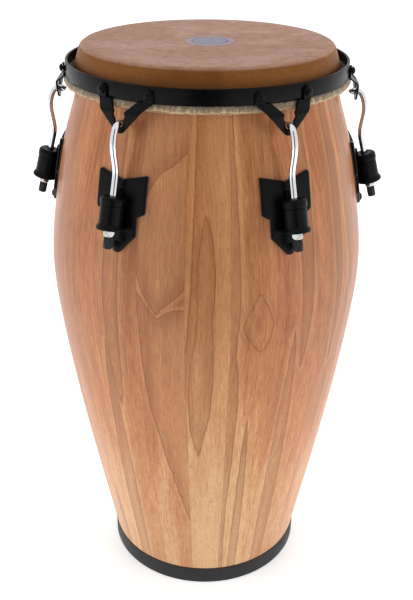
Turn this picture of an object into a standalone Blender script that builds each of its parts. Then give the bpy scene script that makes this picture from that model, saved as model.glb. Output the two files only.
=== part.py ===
"""A conga: a staved wooden shell, a hide head and six tuning lugs.

Metres, +Z up. The origin is the middle of the foot, on the floor. The drum's front is towards -Y, and
the lugs stand round the axis, the first one 30 degrees to the right of the front.
"""
import math

import bpy
import bmesh
import numpy as np
from mathutils import Matrix, Vector

# Shell: outer radius at heights above the floor, from the foot to the start of the bearing edge
SHELL_STATIONS = (
    (0.0000, 0.1256),
    (0.2000, 0.1635),
    (0.3800, 0.1908),
    (0.4600, 0.1954),
    (0.5400, 0.1852),
    (0.6200, 0.1682),
    (0.6600, 0.1561),
    (0.7063, 0.1485),
)
WALL = 0.0115
BEARING_ROUND = 0.006
BEARING_FLAT = 0.0015
ROW_SPACING = 0.045
INSIDE_ROW_SPACING = 0.058

# Fits
GAP = 0.0003
BOLT_PLAY = 0.0003
ROD_PLAY = 0.0007
SKIN_PLAY = 0.0004

# Head
SKIN = 0.0016
HOOP_WIRE_RADIUS = 0.0024
HOOP_INSET = 0.0022
SKIN_COLLAR = 0.0210
TUCK_HEIGHT = 0.0065
TUCK_STEP = 0.0004

# Rim: its outer face stands off from the shell's edge
RIM_STANDOFF = 0.0180
RIM_THICKNESS = 0.0030
RIM_HEIGHT = 0.0177
RIM_DROP = 0.0175
RIM_EDGE = 0.0008

# Foot ring: it stands proud of the shell's side
FOOT_PROUD = 0.0010
FOOT_HEIGHT = 0.0249
FOOT_FLOOR = 0.0040
FOOT_REBATE = 0.0037
FOOT_LIP = 0.0030
FOOT_LIP_HEIGHT = 0.0120
FOOT_ROUND = 0.0025

# Rim bracket: half widths are along the rim, drops are below the rim's lower edge
LUGS = 6
BRACKET_THICKNESS = 0.0025
EAR_OFFSET = 0.0292
EAR_WIDTH = 0.0110
EAR_TOP_DROP = 0.0031
SHOULDER_RISE = 0.0010
SHOULDER_HALF = 0.0170
JOGGLE = 0.0097
JOGGLE_RISE = 0.0018
JOGGLE_DROP = 0.0112
NECK_HALF = 0.0064
NECK_DROP = 0.0094
POCKET_HALF = 0.0075
POCKET_DROP = 0.0137
NOTCH_HALF = 0.0052
NOTCH_DROP = 0.0259
NOTCH_DEPTH = 0.0081
TIP_DROP = 0.0327
TIP_RADIUS = 0.0080
BRACKET_BAND = 0.0117

# Rivets, two in each bracket
RIVET_SHANK_RADIUS = 0.0025
RIVET_HEAD_RADIUS = 0.0048
RIVET_HEAD_HEIGHT = 0.0038
RIVET_DROP = 0.0094

# Lug: the drop from the rim's lower edge to the casing's foot places the plate, casing, rod and bolt
LUG_DROP = 0.1328
ROD_RADIUS = 0.0035
ROD_STANDOFF = 0.0140
HOOK_STANDOFF = 0.0083
SEAT_BEND = 0.0090
TIP_REACH = 0.0065
SEAT_LEAD = 0.0007
SHOULDER_TURN = math.radians(60)
BULGE_REACH = 0.0128
BULGE_DROP = 0.0240
WAIST_DROP = 0.0490
WAIST_STEP = 0.0012
ROD_START_DROP = 0.0650

# Casing, along the rod
CASING_LENGTH = 0.0363
CASING_RADIUS = 0.0129
CASING_LIP_RADIUS = 0.0152
CASING_LIP = 0.0022
CASING_FLARE = 0.0065
CASING_COLLAR_RADIUS = 0.0137
CASING_COLLAR_HEIGHT = 0.0100
CASING_GROOVE = 0.0012
CASING_ROUND = 0.0040
TONGUE_HALF = 0.0034
TONGUE_TOP = 0.0443
TONGUE_STANDOFF = 0.0072
SEAT_SPACING = 0.0030

# Nut and cap
NUT_FLATS = 0.0116
NUT_HEIGHT = 0.0082
NUT_CHAMFER = 0.0008
CAP_RADIUS = 0.0049
CAP_LENGTH = 0.0125
CAP_ROUND = 0.0015
THREAD_DEPTH = 0.0090

# Side plate: half widths along the shell, heights from the casing's foot
PLATE_THICKNESS = 0.0042
PLATE_BEVEL = 0.0012
PLATE_NOTCH_TOP = 0.0488
PLATE_WING_TOP = 0.0560
PLATE_WING_BOTTOM = 0.0152
PLATE_WING_HALF = 0.0303
PLATE_STEP = 0.0105
PLATE_FLANK_HALF = 0.0211
PLATE_FLANK_BOTTOM = -0.0103
PLATE_TAIL = -0.0306
PLATE_TAIL_RADIUS = 0.0055
PLATE_CORNER = 0.0025
PLATE_BAND = 0.0130
PLATE_ROW_SPACING = 0.0195

# Mounting bolt through the plate's tail and the shell
BOLT_DROP = 0.0228
BOLT_RADIUS = 0.0030
BOLT_HEAD_RADIUS = 0.0050
BOLT_HEAD_HEIGHT = 0.0030
WASHER_RADIUS = 0.0080
WASHER_THICKNESS = 0.0015
BOLT_NUT_RADIUS = 0.0060
BOLT_NUT_HEIGHT = 0.0050

# Facets round each kind of piece
SHELL_FACETS = 48
CASING_FACETS = 16
NUT_FACETS = 12
CAP_FACETS = 10
BOLT_FACETS = 8
RIVET_FACETS = 8
HOOP_FACETS = 6
CURVE_STEPS = 4
WRAP_STEPS = 6
SEAT_STEPS = 5
RUN_STEPS = 3
DOME_STEPS = 2
SHARP_ANGLE = math.radians(35)
MERGE = 0.00001


def natural_spline(stations):
    """Radius as a smooth function of height: cubic between stations, with no bending at the two ends."""
    heights, radii = (np.array(column) for column in zip(*stations))
    spans = np.diff(heights)
    count = len(heights)
    rates = np.eye(count)
    turns = np.zeros(count)
    for i in range(1, count - 1):
        rates[i, i - 1:i + 2] = spans[i - 1], 2 * (spans[i - 1] + spans[i]), spans[i]
        turns[i] = 3 * ((radii[i + 1] - radii[i]) / spans[i] - (radii[i] - radii[i - 1]) / spans[i - 1])
    bend = np.linalg.solve(rates, turns)

    def radius_at(height):
        i = int(np.clip(np.searchsorted(heights, height) - 1, 0, count - 2))
        step = height - heights[i]
        slope = (radii[i + 1] - radii[i]) / spans[i] - spans[i] * (2 * bend[i] + bend[i + 1]) / 3
        cubic = (bend[i + 1] - bend[i]) / (3 * spans[i])
        return float(radii[i] + slope * step + bend[i] * step ** 2 + cubic * step ** 3)

    return radius_at


def arc(centre, radius, start, end, steps):
    """Points on a circle from one angle to another, in radians, both ends included."""
    angles = [start + (end - start) * i / steps for i in range(steps + 1)]
    return [(centre[0] + radius * math.cos(a), centre[1] + radius * math.sin(a)) for a in angles]


def rows(low, high, spacing):
    """Heights from low to high, evenly spread, no further apart than the spacing."""
    steps = max(1, math.ceil((high - low) / spacing))
    return [low + (high - low) * i / steps for i in range(steps + 1)]


# Places that several pieces share
shell_radius = natural_spline(SHELL_STATIONS)
edge_height, edge_radius = SHELL_STATIONS[-1]
shell_top = edge_height + BEARING_ROUND
head_top = shell_top + GAP + SKIN
rim_radius = edge_radius + RIM_STANDOFF
rim_top = head_top - RIM_DROP
rim_bottom = rim_top - RIM_HEIGHT
foot_radius = shell_radius(FOOT_HEIGHT) + FOOT_PROUD
lug_height = rim_bottom - LUG_DROP
wrap_radius = HOOP_WIRE_RADIUS + SKIN_PLAY + SKIN
hoop_centre = (rim_radius - HOOP_INSET, rim_bottom - GAP - wrap_radius)
bearing_centre = (edge_radius - BEARING_ROUND, edge_height)
bracket_back = rim_radius + GAP
bracket_face = bracket_back + JOGGLE + BRACKET_THICKNESS
bracket_middle = bracket_face - BRACKET_THICKNESS / 2
notch_height = rim_bottom - NOTCH_DROP
rivet_height = rim_top - RIVET_DROP
rivet_depth = BRACKET_THICKNESS + 2 * RIM_THICKNESS
shell_seat = FOOT_FLOOR + GAP


def shell_normal(height):
    """Outward direction, as (radial, vertical), square to the shell's side at a height."""
    step = 0.001
    slope = (shell_radius(height + step) - shell_radius(height - step)) / (2 * step)
    return Vector((1.0, -slope)).normalized()


def shell_point(height, depth):
    """Radius and height of the point at a depth out from the shell's side."""
    normal = shell_normal(height)
    return Vector((shell_radius(height), height)) + depth * normal


# The rod's axis runs from under the hook's waist to the casing's foot, both in the lug's own plane
plate_stack = GAP + PLATE_THICKNESS
rod_foot = Vector((shell_point(lug_height, plate_stack).x + ROD_STANDOFF, lug_height))
rod_waist = Vector((bracket_middle + HOOK_STANDOFF, notch_height + ROD_RADIUS - WAIST_DROP + GAP))
rod_up = (rod_waist - rod_foot).normalized()
rod_lean = math.atan2(-rod_up.x, rod_up.y)


def on_rod(distance):
    """Point on the rod's axis, at a distance up from the casing's foot."""
    return rod_foot + distance * rod_up


def rod_at_height(height):
    """Point on the rod's axis at a height above the floor."""
    return rod_foot + rod_up * ((height - rod_foot.y) / rod_up.y)


def finish(name, colour, roughness, metallic):
    """A plain Principled material."""
    material = bpy.data.materials.new(name)
    material.use_nodes = True
    shader = material.node_tree.nodes["Principled BSDF"]
    shader.inputs["Base Color"].default_value = (*colour, 1.0)
    shader.inputs["Roughness"].default_value = roughness
    shader.inputs["Metallic"].default_value = metallic
    material.diffuse_color = (*colour, 1.0)
    return material


WOOD = finish("oiled_wood", (0.55, 0.31, 0.16), 0.40, 0.0)
HIDE = finish("hide", (0.40, 0.22, 0.14), 0.70, 0.0)
BLACK = finish("black_powder_coat", (0.012, 0.012, 0.014), 0.35, 0.2)
RUBBER = finish("black_rubber", (0.030, 0.034, 0.038), 0.60, 0.0)
CHROME = finish("chrome", (0.80, 0.80, 0.82), 0.10, 1.0)
STEEL = finish("zinc_steel", (0.45, 0.45, 0.46), 0.35, 1.0)


def mesh_of(name, shape, material):
    """Turn a bmesh into a mesh that is smooth except over sharp edges."""
    bmesh.ops.recalc_face_normals(shape, faces=shape.faces)
    mesh = bpy.data.meshes.new(name)
    shape.to_mesh(mesh)
    shape.free()
    mesh.shade_smooth()
    mesh.set_sharp_from_angle(angle=SHARP_ANGLE)
    mesh.materials.append(material)
    return mesh


def place(name, mesh, parent=None, matrix=None):
    """Put a mesh in the scene as a named object."""
    piece = bpy.data.objects.new(name, mesh)
    bpy.context.scene.collection.objects.link(piece)
    piece.parent = parent
    if matrix is not None:
        piece.matrix_local = matrix
    return piece


def turned(name, outline, facets, material, closed=True):
    """Spin an outline of (radius, height) points round Z; an open one starts and ends on the axis."""
    shape = bmesh.new()
    points = [shape.verts.new((radius, 0.0, height)) for radius, height in outline]
    pairs = list(zip(points, points[1:]))
    if closed:
        pairs.append((points[-1], points[0]))
    edges = [shape.edges.new(pair) for pair in pairs]
    bmesh.ops.spin(
        shape,
        geom=points + edges,
        cent=(0, 0, 0),
        axis=(0, 0, 1),
        angle=math.tau,
        steps=facets,
        use_merge=True,
    )
    bmesh.ops.remove_doubles(shape, verts=shape.verts, dist=MERGE)
    return mesh_of(name, shape, material)


def carved(mesh, tools, operation):
    """Apply each tool mesh to a mesh with a Boolean operation."""
    body = place("carved_body", mesh)
    pieces = [body]
    for tool_mesh in tools:
        tool = place("tool", tool_mesh)
        tool.hide_render = True
        tool.display_type = "WIRE"
        pieces.append(tool)
        step = body.modifiers.new("carve", "BOOLEAN")
        step.operation = operation
        step.solver = "EXACT"
        step.object = tool
    depsgraph = bpy.context.evaluated_depsgraph_get()
    result = bpy.data.meshes.new_from_object(body.evaluated_get(depsgraph))
    result.name = mesh.name
    for piece in pieces:
        bpy.data.objects.remove(piece)
    return result


def drilled(mesh, matrices, radius, depth, facets):
    """Cut round holes through a mesh. Each matrix has its Z along the hole and its origin near the mouth.

    The radius is the least one, at the middle of the hole's facets. The drill reaches the depth both ways,
    and it is turned half a facet, which keeps its corners off the mesh's own edges.
    """
    corner_radius = radius / math.cos(math.pi / facets)
    half_facet = Matrix.Rotation(math.pi / facets, 4, "Z")
    drills = []
    for matrix in matrices:
        shape = bmesh.new()
        bmesh.ops.create_cone(
            shape,
            cap_ends=True,
            segments=facets,
            radius1=corner_radius,
            radius2=corner_radius,
            depth=2 * depth,
            matrix=matrix @ half_facet,
        )
        drills.append(mesh_of("drill", shape, mesh.materials[0]))
    return carved(mesh, drills, "DIFFERENCE")


def sheet_plate(outline, bends_across, bends_up, thickness, bevel):
    """Flat plate in (across, up), cut along lines where it will bend, then thickened along Z.

    The outer face is at Z = thickness, with its edge bevelled where a bevel is given.
    """
    shape = bmesh.new()
    shape.faces.new([shape.verts.new((x, y, 0.0)) for x, y in outline])
    for axis, places in ((Vector((1, 0, 0)), bends_across), (Vector((0, 1, 0)), bends_up)):
        for distance in places:
            bmesh.ops.bisect_plane(
                shape,
                geom=shape.verts[:] + shape.edges[:] + shape.faces[:],
                plane_co=axis * distance,
                plane_no=axis,
                dist=2 * MERGE,
            )
    bmesh.ops.recalc_face_normals(shape, faces=shape.faces)
    grown = bmesh.ops.extrude_face_region(shape, geom=shape.faces[:])["geom"]
    lifted = [item for item in grown if isinstance(item, bmesh.types.BMVert)]
    bmesh.ops.translate(shape, verts=lifted, vec=(0, 0, thickness))
    bmesh.ops.recalc_face_normals(shape, faces=shape.faces)
    if bevel:
        rim_edges = [
            edge for edge in shape.edges
            if all(vert.co.z > thickness / 2 for vert in edge.verts)
            and any(abs(face.normal.z) < 0.5 for face in edge.link_faces)
        ]
        bmesh.ops.bevel(shape, geom=rim_edges, offset=bevel, segments=1, affect="EDGES")
    return shape


def bent_round_rim(shape):
    """Roll the flat bracket round the rim and joggle its lower part outwards."""
    bend_top = rim_bottom + JOGGLE_RISE
    bend_bottom = rim_bottom - JOGGLE_DROP
    for vert in shape.verts:
        across, height, depth = vert.co
        share = min(max((bend_top - height) / (bend_top - bend_bottom), 0.0), 1.0)
        radius = bracket_back + JOGGLE * share + depth
        angle = across / (bracket_back + JOGGLE * share)
        vert.co = (radius * math.cos(angle), radius * math.sin(angle), height)


def bent_round_shell(shape):
    """Wrap the flat plate round the shell's side, at the fit's gap from it."""
    for vert in shape.verts:
        across, height, depth = vert.co
        point = shell_point(height, GAP + depth)
        angle = across / shell_radius(height)
        vert.co = (point.x * math.cos(angle), point.x * math.sin(angle), point.y)


def mirrored(half):
    """A closed outline from its right half, which starts and ends on the middle line."""
    inner = [point for point in half if point[0] > MERGE]
    ends = [point for point in half if point[0] <= MERGE]
    left = [(-x, y) for x, y in reversed(inner)]
    if len(ends) == 2:
        return [ends[0], *inner, ends[1], *left]
    return inner + left


def rounded(corner, before, after, size):
    """Three points that round a corner off, starting at a size along each side."""
    corner, before, after = Vector(corner), Vector(before), Vector(after)
    first = corner + (before - corner).normalized() * size
    second = corner + (after - corner).normalized() * size
    middle = (first + second + 2 * corner) / 4
    return [tuple(first), tuple(middle), tuple(second)]


def side_rows(low, high, spacing, depth):
    """Points down the shell's side, at a depth in from it, with a row at the mounting bolts."""
    bolt_height = lug_height - BOLT_DROP
    heights = rows(low, bolt_height, spacing) + rows(bolt_height, high, spacing)[1:]
    return [(shell_radius(z) - depth, z) for z in heights]


def stave_shell():
    """Open wooden barrel: rounded bearing edge above, rebate for the foot ring below."""
    rebate_radius = foot_radius - FOOT_REBATE - GAP
    rebate_top = FOOT_HEIGHT + GAP
    outside = side_rows(rebate_top, edge_height, ROW_SPACING, 0.0)
    inside = side_rows(rebate_top, edge_height - WALL, INSIDE_ROW_SPACING, WALL)
    edge = arc(bearing_centre, BEARING_ROUND, 0.0, math.pi / 2, CURVE_STEPS)[1:]
    outline = [
        *outside,
        *edge,
        (bearing_centre[0] - BEARING_FLAT, shell_top),
        *reversed(inside),
        (rebate_radius - WALL, shell_seat),
        (rebate_radius, shell_seat),
        (rebate_radius, rebate_top),
    ]
    mesh = turned("stave_shell", outline, SHELL_FACETS, WOOD)
    holes = [lug_turn(i) @ bolt_matrix() for i in range(LUGS)]
    return drilled(mesh, holes, BOLT_RADIUS + BOLT_PLAY, plate_stack + 2 * WALL, BOLT_FACETS)


def foot_ring():
    """Rubber channel that the shell's foot stands in."""
    inner = foot_radius - FOOT_REBATE - GAP - WALL - GAP
    outline = [
        *arc((foot_radius - RIM_EDGE, FOOT_HEIGHT - RIM_EDGE), RIM_EDGE, 0, math.pi / 2, 1),
        (foot_radius - FOOT_REBATE, FOOT_HEIGHT),
        (foot_radius - FOOT_REBATE, FOOT_FLOOR),
        (inner, FOOT_FLOOR),
        (inner, FOOT_LIP_HEIGHT),
        (inner - FOOT_LIP, FOOT_LIP_HEIGHT),
        (inner - FOOT_LIP, 0.0),
        *arc((foot_radius - FOOT_ROUND, FOOT_ROUND), FOOT_ROUND, -math.pi / 2, 0, 2),
    ]
    return turned("foot_ring", outline, SHELL_FACETS, RUBBER)


def collar_lean():
    """Angle off vertical of the skin between the bearing edge and the flesh hoop."""
    across = hoop_centre[0] - bearing_centre[0]
    down = bearing_centre[1] - hoop_centre[1]
    pull = BEARING_ROUND + GAP + SKIN + HOOP_WIRE_RADIUS + SKIN_PLAY
    return math.atan2(across, down) - math.asin(pull / math.hypot(across, down))


def drum_head():
    """The playing skin and its collar, drawn over the bearing edge."""
    lean = collar_lean()
    inner_round = BEARING_ROUND + GAP
    outer_round = inner_round + SKIN
    outer = arc(bearing_centre, outer_round, math.pi / 2, lean, CURVE_STEPS)
    inner = arc(bearing_centre, inner_round, lean, math.pi / 2, CURVE_STEPS)
    run = SKIN_COLLAR / math.cos(lean)
    slide = Vector((math.sin(lean), -math.cos(lean))) * run
    outline = [
        (0.0, head_top),
        *outer,
        tuple(Vector(outer[-1]) + slide),
        tuple(Vector(inner[0]) + slide),
        *inner,
        (0.0, shell_top + GAP),
    ]
    return turned("drum_head", outline, SHELL_FACETS, HIDE, closed=False)


def head_tuck():
    """The skin's edge, wrapped round the flesh hoop, with its flap standing inside the rim."""
    lean = collar_lean()
    inner_radius = HOOP_WIRE_RADIUS + SKIN_PLAY
    side = math.pi + lean
    top = math.tau + math.pi / 2
    steps = WRAP_STEPS
    fitted = inner_radius / math.cos((top - side) / steps / 2)
    outer = arc(hoop_centre, wrap_radius, side, top, steps)
    inner = arc(hoop_centre, fitted, top, side, steps)
    upward = Vector((-math.sin(lean), math.cos(lean)))
    outer_tangent = Vector(bearing_centre) + Vector((math.cos(lean), math.sin(lean))) * (
        BEARING_ROUND + GAP)
    collar_end = outer_tangent.y - SKIN_COLLAR
    stub_top = collar_end - SKIN * math.tan(lean) - GAP * 2
    stub_outer = Vector(inner[-1]) + upward * ((stub_top - inner[-1][1]) / upward.y)
    stub_inner = Vector(outer[0]) + upward * ((stub_top - outer[0][1]) / upward.y)
    flap_outer = rim_radius - RIM_THICKNESS - TUCK_STEP
    flap_inner = flap_outer - SKIN
    flap_top = rim_bottom + TUCK_HEIGHT
    outline = [
        *outer,
        (flap_outer, outer[-1][1]),
        (flap_outer, flap_top),
        (flap_inner, flap_top),
        (flap_inner, inner[0][1]),
        *inner,
        tuple(stub_outer),
        tuple(stub_inner),
    ]
    return turned("head_tuck", list(reversed(outline)), SHELL_FACETS, HIDE)


def flesh_hoop():
    """Steel ring that the skin's edge is wrapped round."""
    step = math.tau / HOOP_FACETS
    outline = arc(hoop_centre, HOOP_WIRE_RADIUS, 0, -math.tau + step, HOOP_FACETS - 1)
    return turned("flesh_hoop", outline, SHELL_FACETS, STEEL)


def rim():
    """Flat steel band on edge, drilled for the brackets' rivets."""
    inner = rim_radius - RIM_THICKNESS
    outline = [
        (rim_radius - RIM_EDGE, rim_top),
        (rim_radius, rim_top - RIM_EDGE),
        (rim_radius, rim_bottom),
        (inner, rim_bottom),
        (inner, rim_top - RIM_EDGE),
        (inner + RIM_EDGE, rim_top),
    ]
    mesh = turned("rim", outline, SHELL_FACETS, BLACK)
    holes = [lug_turn(i) @ rivet_matrix(side) for i in range(LUGS) for side in (-1, 1)]
    return drilled(mesh, holes, RIVET_SHANK_RADIUS + BOLT_PLAY, rivet_depth, RIVET_FACETS)


def bracket_outline():
    """Right half of the bracket's outline, from its tip up the outside and down the inside."""
    ear_outer = EAR_OFFSET + EAR_WIDTH / 2
    ear_inner = EAR_OFFSET - EAR_WIDTH / 2
    ear_top = rim_top - EAR_TOP_DROP
    ear_round = EAR_WIDTH / 2
    shoulder = rim_bottom + SHOULDER_RISE
    tip_centre = Vector((0.0, rim_bottom - TIP_DROP + TIP_RADIUS))
    corner = Vector((ear_outer, shoulder))
    reach = corner - tip_centre
    turn = math.atan2(reach.y, reach.x) - math.acos(TIP_RADIUS / reach.length)
    notch_centre = (0.0, notch_height + NOTCH_HALF)
    return [
        *arc(tip_centre, TIP_RADIUS, -math.pi / 2, turn, 3),
        tuple(corner),
        *arc((EAR_OFFSET, ear_top - ear_round), ear_round, 0, math.pi, 6),
        (ear_inner, shoulder),
        (SHOULDER_HALF, shoulder),
        (NECK_HALF, rim_bottom - NECK_DROP),
        (POCKET_HALF, rim_bottom - POCKET_DROP),
        (NOTCH_HALF, notch_height + NOTCH_DEPTH),
        *arc(notch_centre, NOTCH_HALF, 0, -math.pi / 2, 3),
    ]


def rim_bracket():
    """Pressed V of steel plate: two ears riveted to the rim, and a notch that takes the hook."""
    outline = mirrored(bracket_outline())
    span = EAR_OFFSET + EAR_WIDTH / 2
    across = rows(-span, span, BRACKET_BAND)[1:-1]
    up = (rim_bottom + JOGGLE_RISE, rim_bottom - JOGGLE_DROP)
    shape = sheet_plate(outline, across, up, BRACKET_THICKNESS, 0.0)
    bent_round_rim(shape)
    mesh = mesh_of("rim_bracket", shape, BLACK)
    holes = [rivet_matrix(side) for side in (-1, 1)]
    return drilled(mesh, holes, RIVET_SHANK_RADIUS + BOLT_PLAY, rivet_depth, RIVET_FACETS)


def dome(radius, height):
    """Outline of a domed head that stands a gap off its seat, from its crown to its edge."""
    unit = arc((0.0, 0.0), 1.0, math.pi / 2, 0.0, DOME_STEPS)
    return [(radius * x, GAP + height * y) for x, y in unit]


def rivet():
    """Domed rivet; its Z runs outwards and its origin is on the bracket's ear."""
    back = -(BRACKET_THICKNESS + RIM_THICKNESS)
    outline = [
        *dome(RIVET_HEAD_RADIUS, RIVET_HEAD_HEIGHT),
        (RIVET_SHANK_RADIUS, GAP),
        (RIVET_SHANK_RADIUS, back),
        (0.0, back),
    ]
    return turned("rivet", outline, RIVET_FACETS, BLACK, closed=False)


def rivet_matrix(side):
    """Place of a rivet in its lug's frame, on the ear's outer face, with Z outwards."""
    angle = side * EAR_OFFSET / bracket_back
    turn = Matrix.Rotation(angle, 4, "Z")
    out = Matrix.Translation((bracket_back + BRACKET_THICKNESS, 0, rivet_height))
    return turn @ out @ Matrix.Rotation(math.pi / 2, 4, "Y")


def side_plate():
    """Cast plate with its rubber backing, winged and tapered to a tail, that carries the casing."""
    foot = lug_height
    notch = (0.0, foot + PLATE_NOTCH_TOP)
    wing_top = (PLATE_WING_HALF, foot + PLATE_WING_TOP)
    wing_low = (PLATE_WING_HALF, foot + PLATE_WING_BOTTOM)
    step = (PLATE_FLANK_HALF, foot + PLATE_STEP)
    flank = (PLATE_FLANK_HALF, foot + PLATE_FLANK_BOTTOM)
    tail_centre = Vector((0.0, foot + PLATE_TAIL + PLATE_TAIL_RADIUS))
    reach = Vector(flank) - tail_centre
    turn = math.atan2(reach.y, reach.x) - math.acos(PLATE_TAIL_RADIUS / reach.length)
    half = [
        *arc(tail_centre, PLATE_TAIL_RADIUS, -math.pi / 2, turn, 3),
        flank,
        step,
        *rounded(wing_low, step, wing_top, PLATE_CORNER),
        *rounded(wing_top, wing_low, notch, PLATE_CORNER),
        notch,
    ]
    across = rows(-PLATE_WING_HALF, PLATE_WING_HALF, PLATE_BAND)[1:-1]
    up = rows(foot + PLATE_TAIL, foot + PLATE_WING_TOP, PLATE_ROW_SPACING)[1:-1]
    shape = sheet_plate(mirrored(half), across, up, PLATE_THICKNESS, PLATE_BEVEL)
    bent_round_shell(shape)
    mesh = mesh_of("side_plate", shape, BLACK)
    return drilled(mesh, [bolt_matrix()], BOLT_RADIUS + BOLT_PLAY, 2 * plate_stack, BOLT_FACETS)


def bolt_matrix():
    """Place of the mounting bolt in its lug's frame, on the plate's outer face, with Z outwards."""
    height = lug_height - BOLT_DROP
    normal = shell_normal(height)
    point = shell_point(height, plate_stack)
    tilt = Matrix.Rotation(math.atan2(normal.x, normal.y), 4, "Y")
    return Matrix.Translation((point.x, 0, point.y)) @ tilt


def mounting_bolt():
    """Dome-headed bolt with its washer and nut inside the shell."""
    height = lug_height - BOLT_DROP
    lean = shell_normal(height).x
    facet_fall = WASHER_RADIUS * math.tan(math.pi / SHELL_FACETS)
    back = -(plate_stack + WALL * lean + facet_fall + 2 * GAP)
    outline = [
        *dome(BOLT_HEAD_RADIUS, BOLT_HEAD_HEIGHT),
        (BOLT_RADIUS, GAP),
        (BOLT_RADIUS, back),
        (WASHER_RADIUS, back),
        (WASHER_RADIUS, back - WASHER_THICKNESS),
        (BOLT_NUT_RADIUS, back - WASHER_THICKNESS),
        (BOLT_NUT_RADIUS, back - WASHER_THICKNESS - BOLT_NUT_HEIGHT),
        (0.0, back - WASHER_THICKNESS - BOLT_NUT_HEIGHT),
    ]
    return turned("mounting_bolt", outline, BOLT_FACETS, BLACK, closed=False)


def casing_tongue():
    """Rounded upright behind the rod, from inside the collar to above it."""
    low = CASING_LENGTH - CASING_COLLAR_HEIGHT / 2
    outline = [
        (-TONGUE_HALF, low),
        (TONGUE_HALF, low),
        *arc((0.0, TONGUE_TOP - TONGUE_HALF), TONGUE_HALF, 0, math.pi, 4),
    ]
    shape = bmesh.new()
    face = shape.faces.new([shape.verts.new((-TONGUE_STANDOFF, y, z)) for y, z in outline])
    grown = bmesh.ops.extrude_face_region(shape, geom=[face])["geom"]
    back = [item for item in grown if isinstance(item, bmesh.types.BMVert)]
    bmesh.ops.translate(shape, verts=back, vec=(-CASING_LIP_RADIUS, 0, 0))
    return mesh_of("casing_tongue", shape, BLACK)


def lug_casing():
    """Round casing on the rod's axis with a tongue above it, its back cut flat to seat on the side plate."""
    bore = ROD_RADIUS + ROD_PLAY
    top = CASING_LENGTH
    collar_foot = top - CASING_COLLAR_HEIGHT
    outline = [
        (bore, top),
        *arc((CASING_COLLAR_RADIUS - CASING_ROUND, top - CASING_ROUND), CASING_ROUND, math.pi / 2, 0, 2),
        (CASING_COLLAR_RADIUS, collar_foot + CASING_GROOVE),
        (CASING_RADIUS - CASING_GROOVE, collar_foot + CASING_GROOVE / 2),
        (CASING_RADIUS, collar_foot - CASING_GROOVE / 2),
        (CASING_RADIUS, CASING_FLARE),
        (CASING_LIP_RADIUS, CASING_LIP),
        (CASING_LIP_RADIUS, 0.0),
        (bore, 0.0),
    ]
    mesh = turned("lug_casing", outline, CASING_FACETS, BLACK)
    mesh = carved(mesh, [casing_tongue()], "UNION")
    to_rod = rod_matrix(0.0).inverted()
    low = lug_height - CASING_LIP_RADIUS * math.sin(rod_lean)
    high = lug_height + CASING_LENGTH
    face = [shell_point(z, plate_stack) for z in rows(low, high, SEAT_SPACING)]
    chord = (face[-1] - face[0]).normalized()
    normal = Vector((chord.y, -chord.x))
    seat = max(face, key=lambda point: point.dot(normal)) + normal * GAP
    shape = bmesh.new()
    shape.from_mesh(mesh)
    cut_normal = to_rod.to_3x3() @ Vector((normal.x, 0, normal.y))
    bmesh.ops.bisect_plane(
        shape,
        geom=shape.verts[:] + shape.edges[:] + shape.faces[:],
        plane_co=to_rod @ Vector((seat.x, 0, seat.y)),
        plane_no=cut_normal,
        dist=MERGE,
        clear_inner=True,
    )
    open_edges = [edge for edge in shape.edges if edge.is_boundary]
    bmesh.ops.edgeloop_fill(shape, edges=open_edges)
    return mesh_of("lug_casing", shape, BLACK)


def rod_matrix(distance):
    """Frame on the rod's axis in the lug's frame: Z up the rod, origin at a distance from the foot."""
    point = on_rod(distance)
    return Matrix.Translation((point.x, 0, point.y)) @ Matrix.Rotation(-rod_lean, 4, "Y")


def lug_nut():
    """Hexagon nut; its origin is in its middle, on the rod's axis."""
    bore = (ROD_RADIUS + GAP) / math.cos(math.pi / NUT_FACETS)
    half = NUT_HEIGHT / 2
    shape = bmesh.new()

    def ring(height, hexagon):
        points = []
        for i in range(NUT_FACETS):
            angle = math.tau * i / NUT_FACETS
            radius = NUT_FLATS / 2 / math.cos((angle + math.pi / 6) % (math.pi / 3) - math.pi / 6)
            radius = radius if hexagon else NUT_FLATS / 2
            points.append(shape.verts.new((radius * math.cos(angle), radius * math.sin(angle), height)))
        return points

    def bore_ring(height):
        angles = [math.tau * i / NUT_FACETS for i in range(NUT_FACETS)]
        return [shape.verts.new((bore * math.cos(a), bore * math.sin(a), height)) for a in angles]

    loops = [
        bore_ring(half),
        ring(half, False),
        ring(half - NUT_CHAMFER, True),
        ring(NUT_CHAMFER - half, True),
        ring(-half, False),
        bore_ring(-half),
    ]
    for upper, lower in zip(loops, loops[1:] + loops[:1]):
        for i in range(NUT_FACETS):
            j = (i + 1) % NUT_FACETS
            shape.faces.new((upper[i], lower[i], lower[j], upper[j]))
    return mesh_of("lug_nut", shape, CHROME)


def end_cap():
    """Rubber cap over the end of the rod; its origin is at its mouth."""
    bore = (ROD_RADIUS + GAP) / math.cos(math.pi / CAP_FACETS)
    outline = [
        (0.0, -THREAD_DEPTH - GAP),
        (bore, -THREAD_DEPTH - GAP),
        (bore, 0.0),
        (CAP_RADIUS, 0.0),
        (CAP_RADIUS, CAP_ROUND - CAP_LENGTH),
        (CAP_RADIUS - CAP_ROUND, -CAP_LENGTH),
        (0.0, -CAP_LENGTH),
    ]
    return turned("end_cap", outline, CAP_FACETS, RUBBER, closed=False)


def smooth_run(start, end, start_way, end_way, steps):
    """Points of a cubic from start to end that leaves and arrives in the given directions."""
    length = (end - start).length
    points = []
    for i in range(1, steps + 1):
        t = i / steps
        points.append(
            start * (2 * t ** 3 - 3 * t ** 2 + 1)
            + start_way * length * (t ** 3 - 2 * t ** 2 + t)
            + end * (3 * t ** 2 - 2 * t ** 3)
            + end_way * length * (t ** 3 - t ** 2)
        )
    return points


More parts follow.
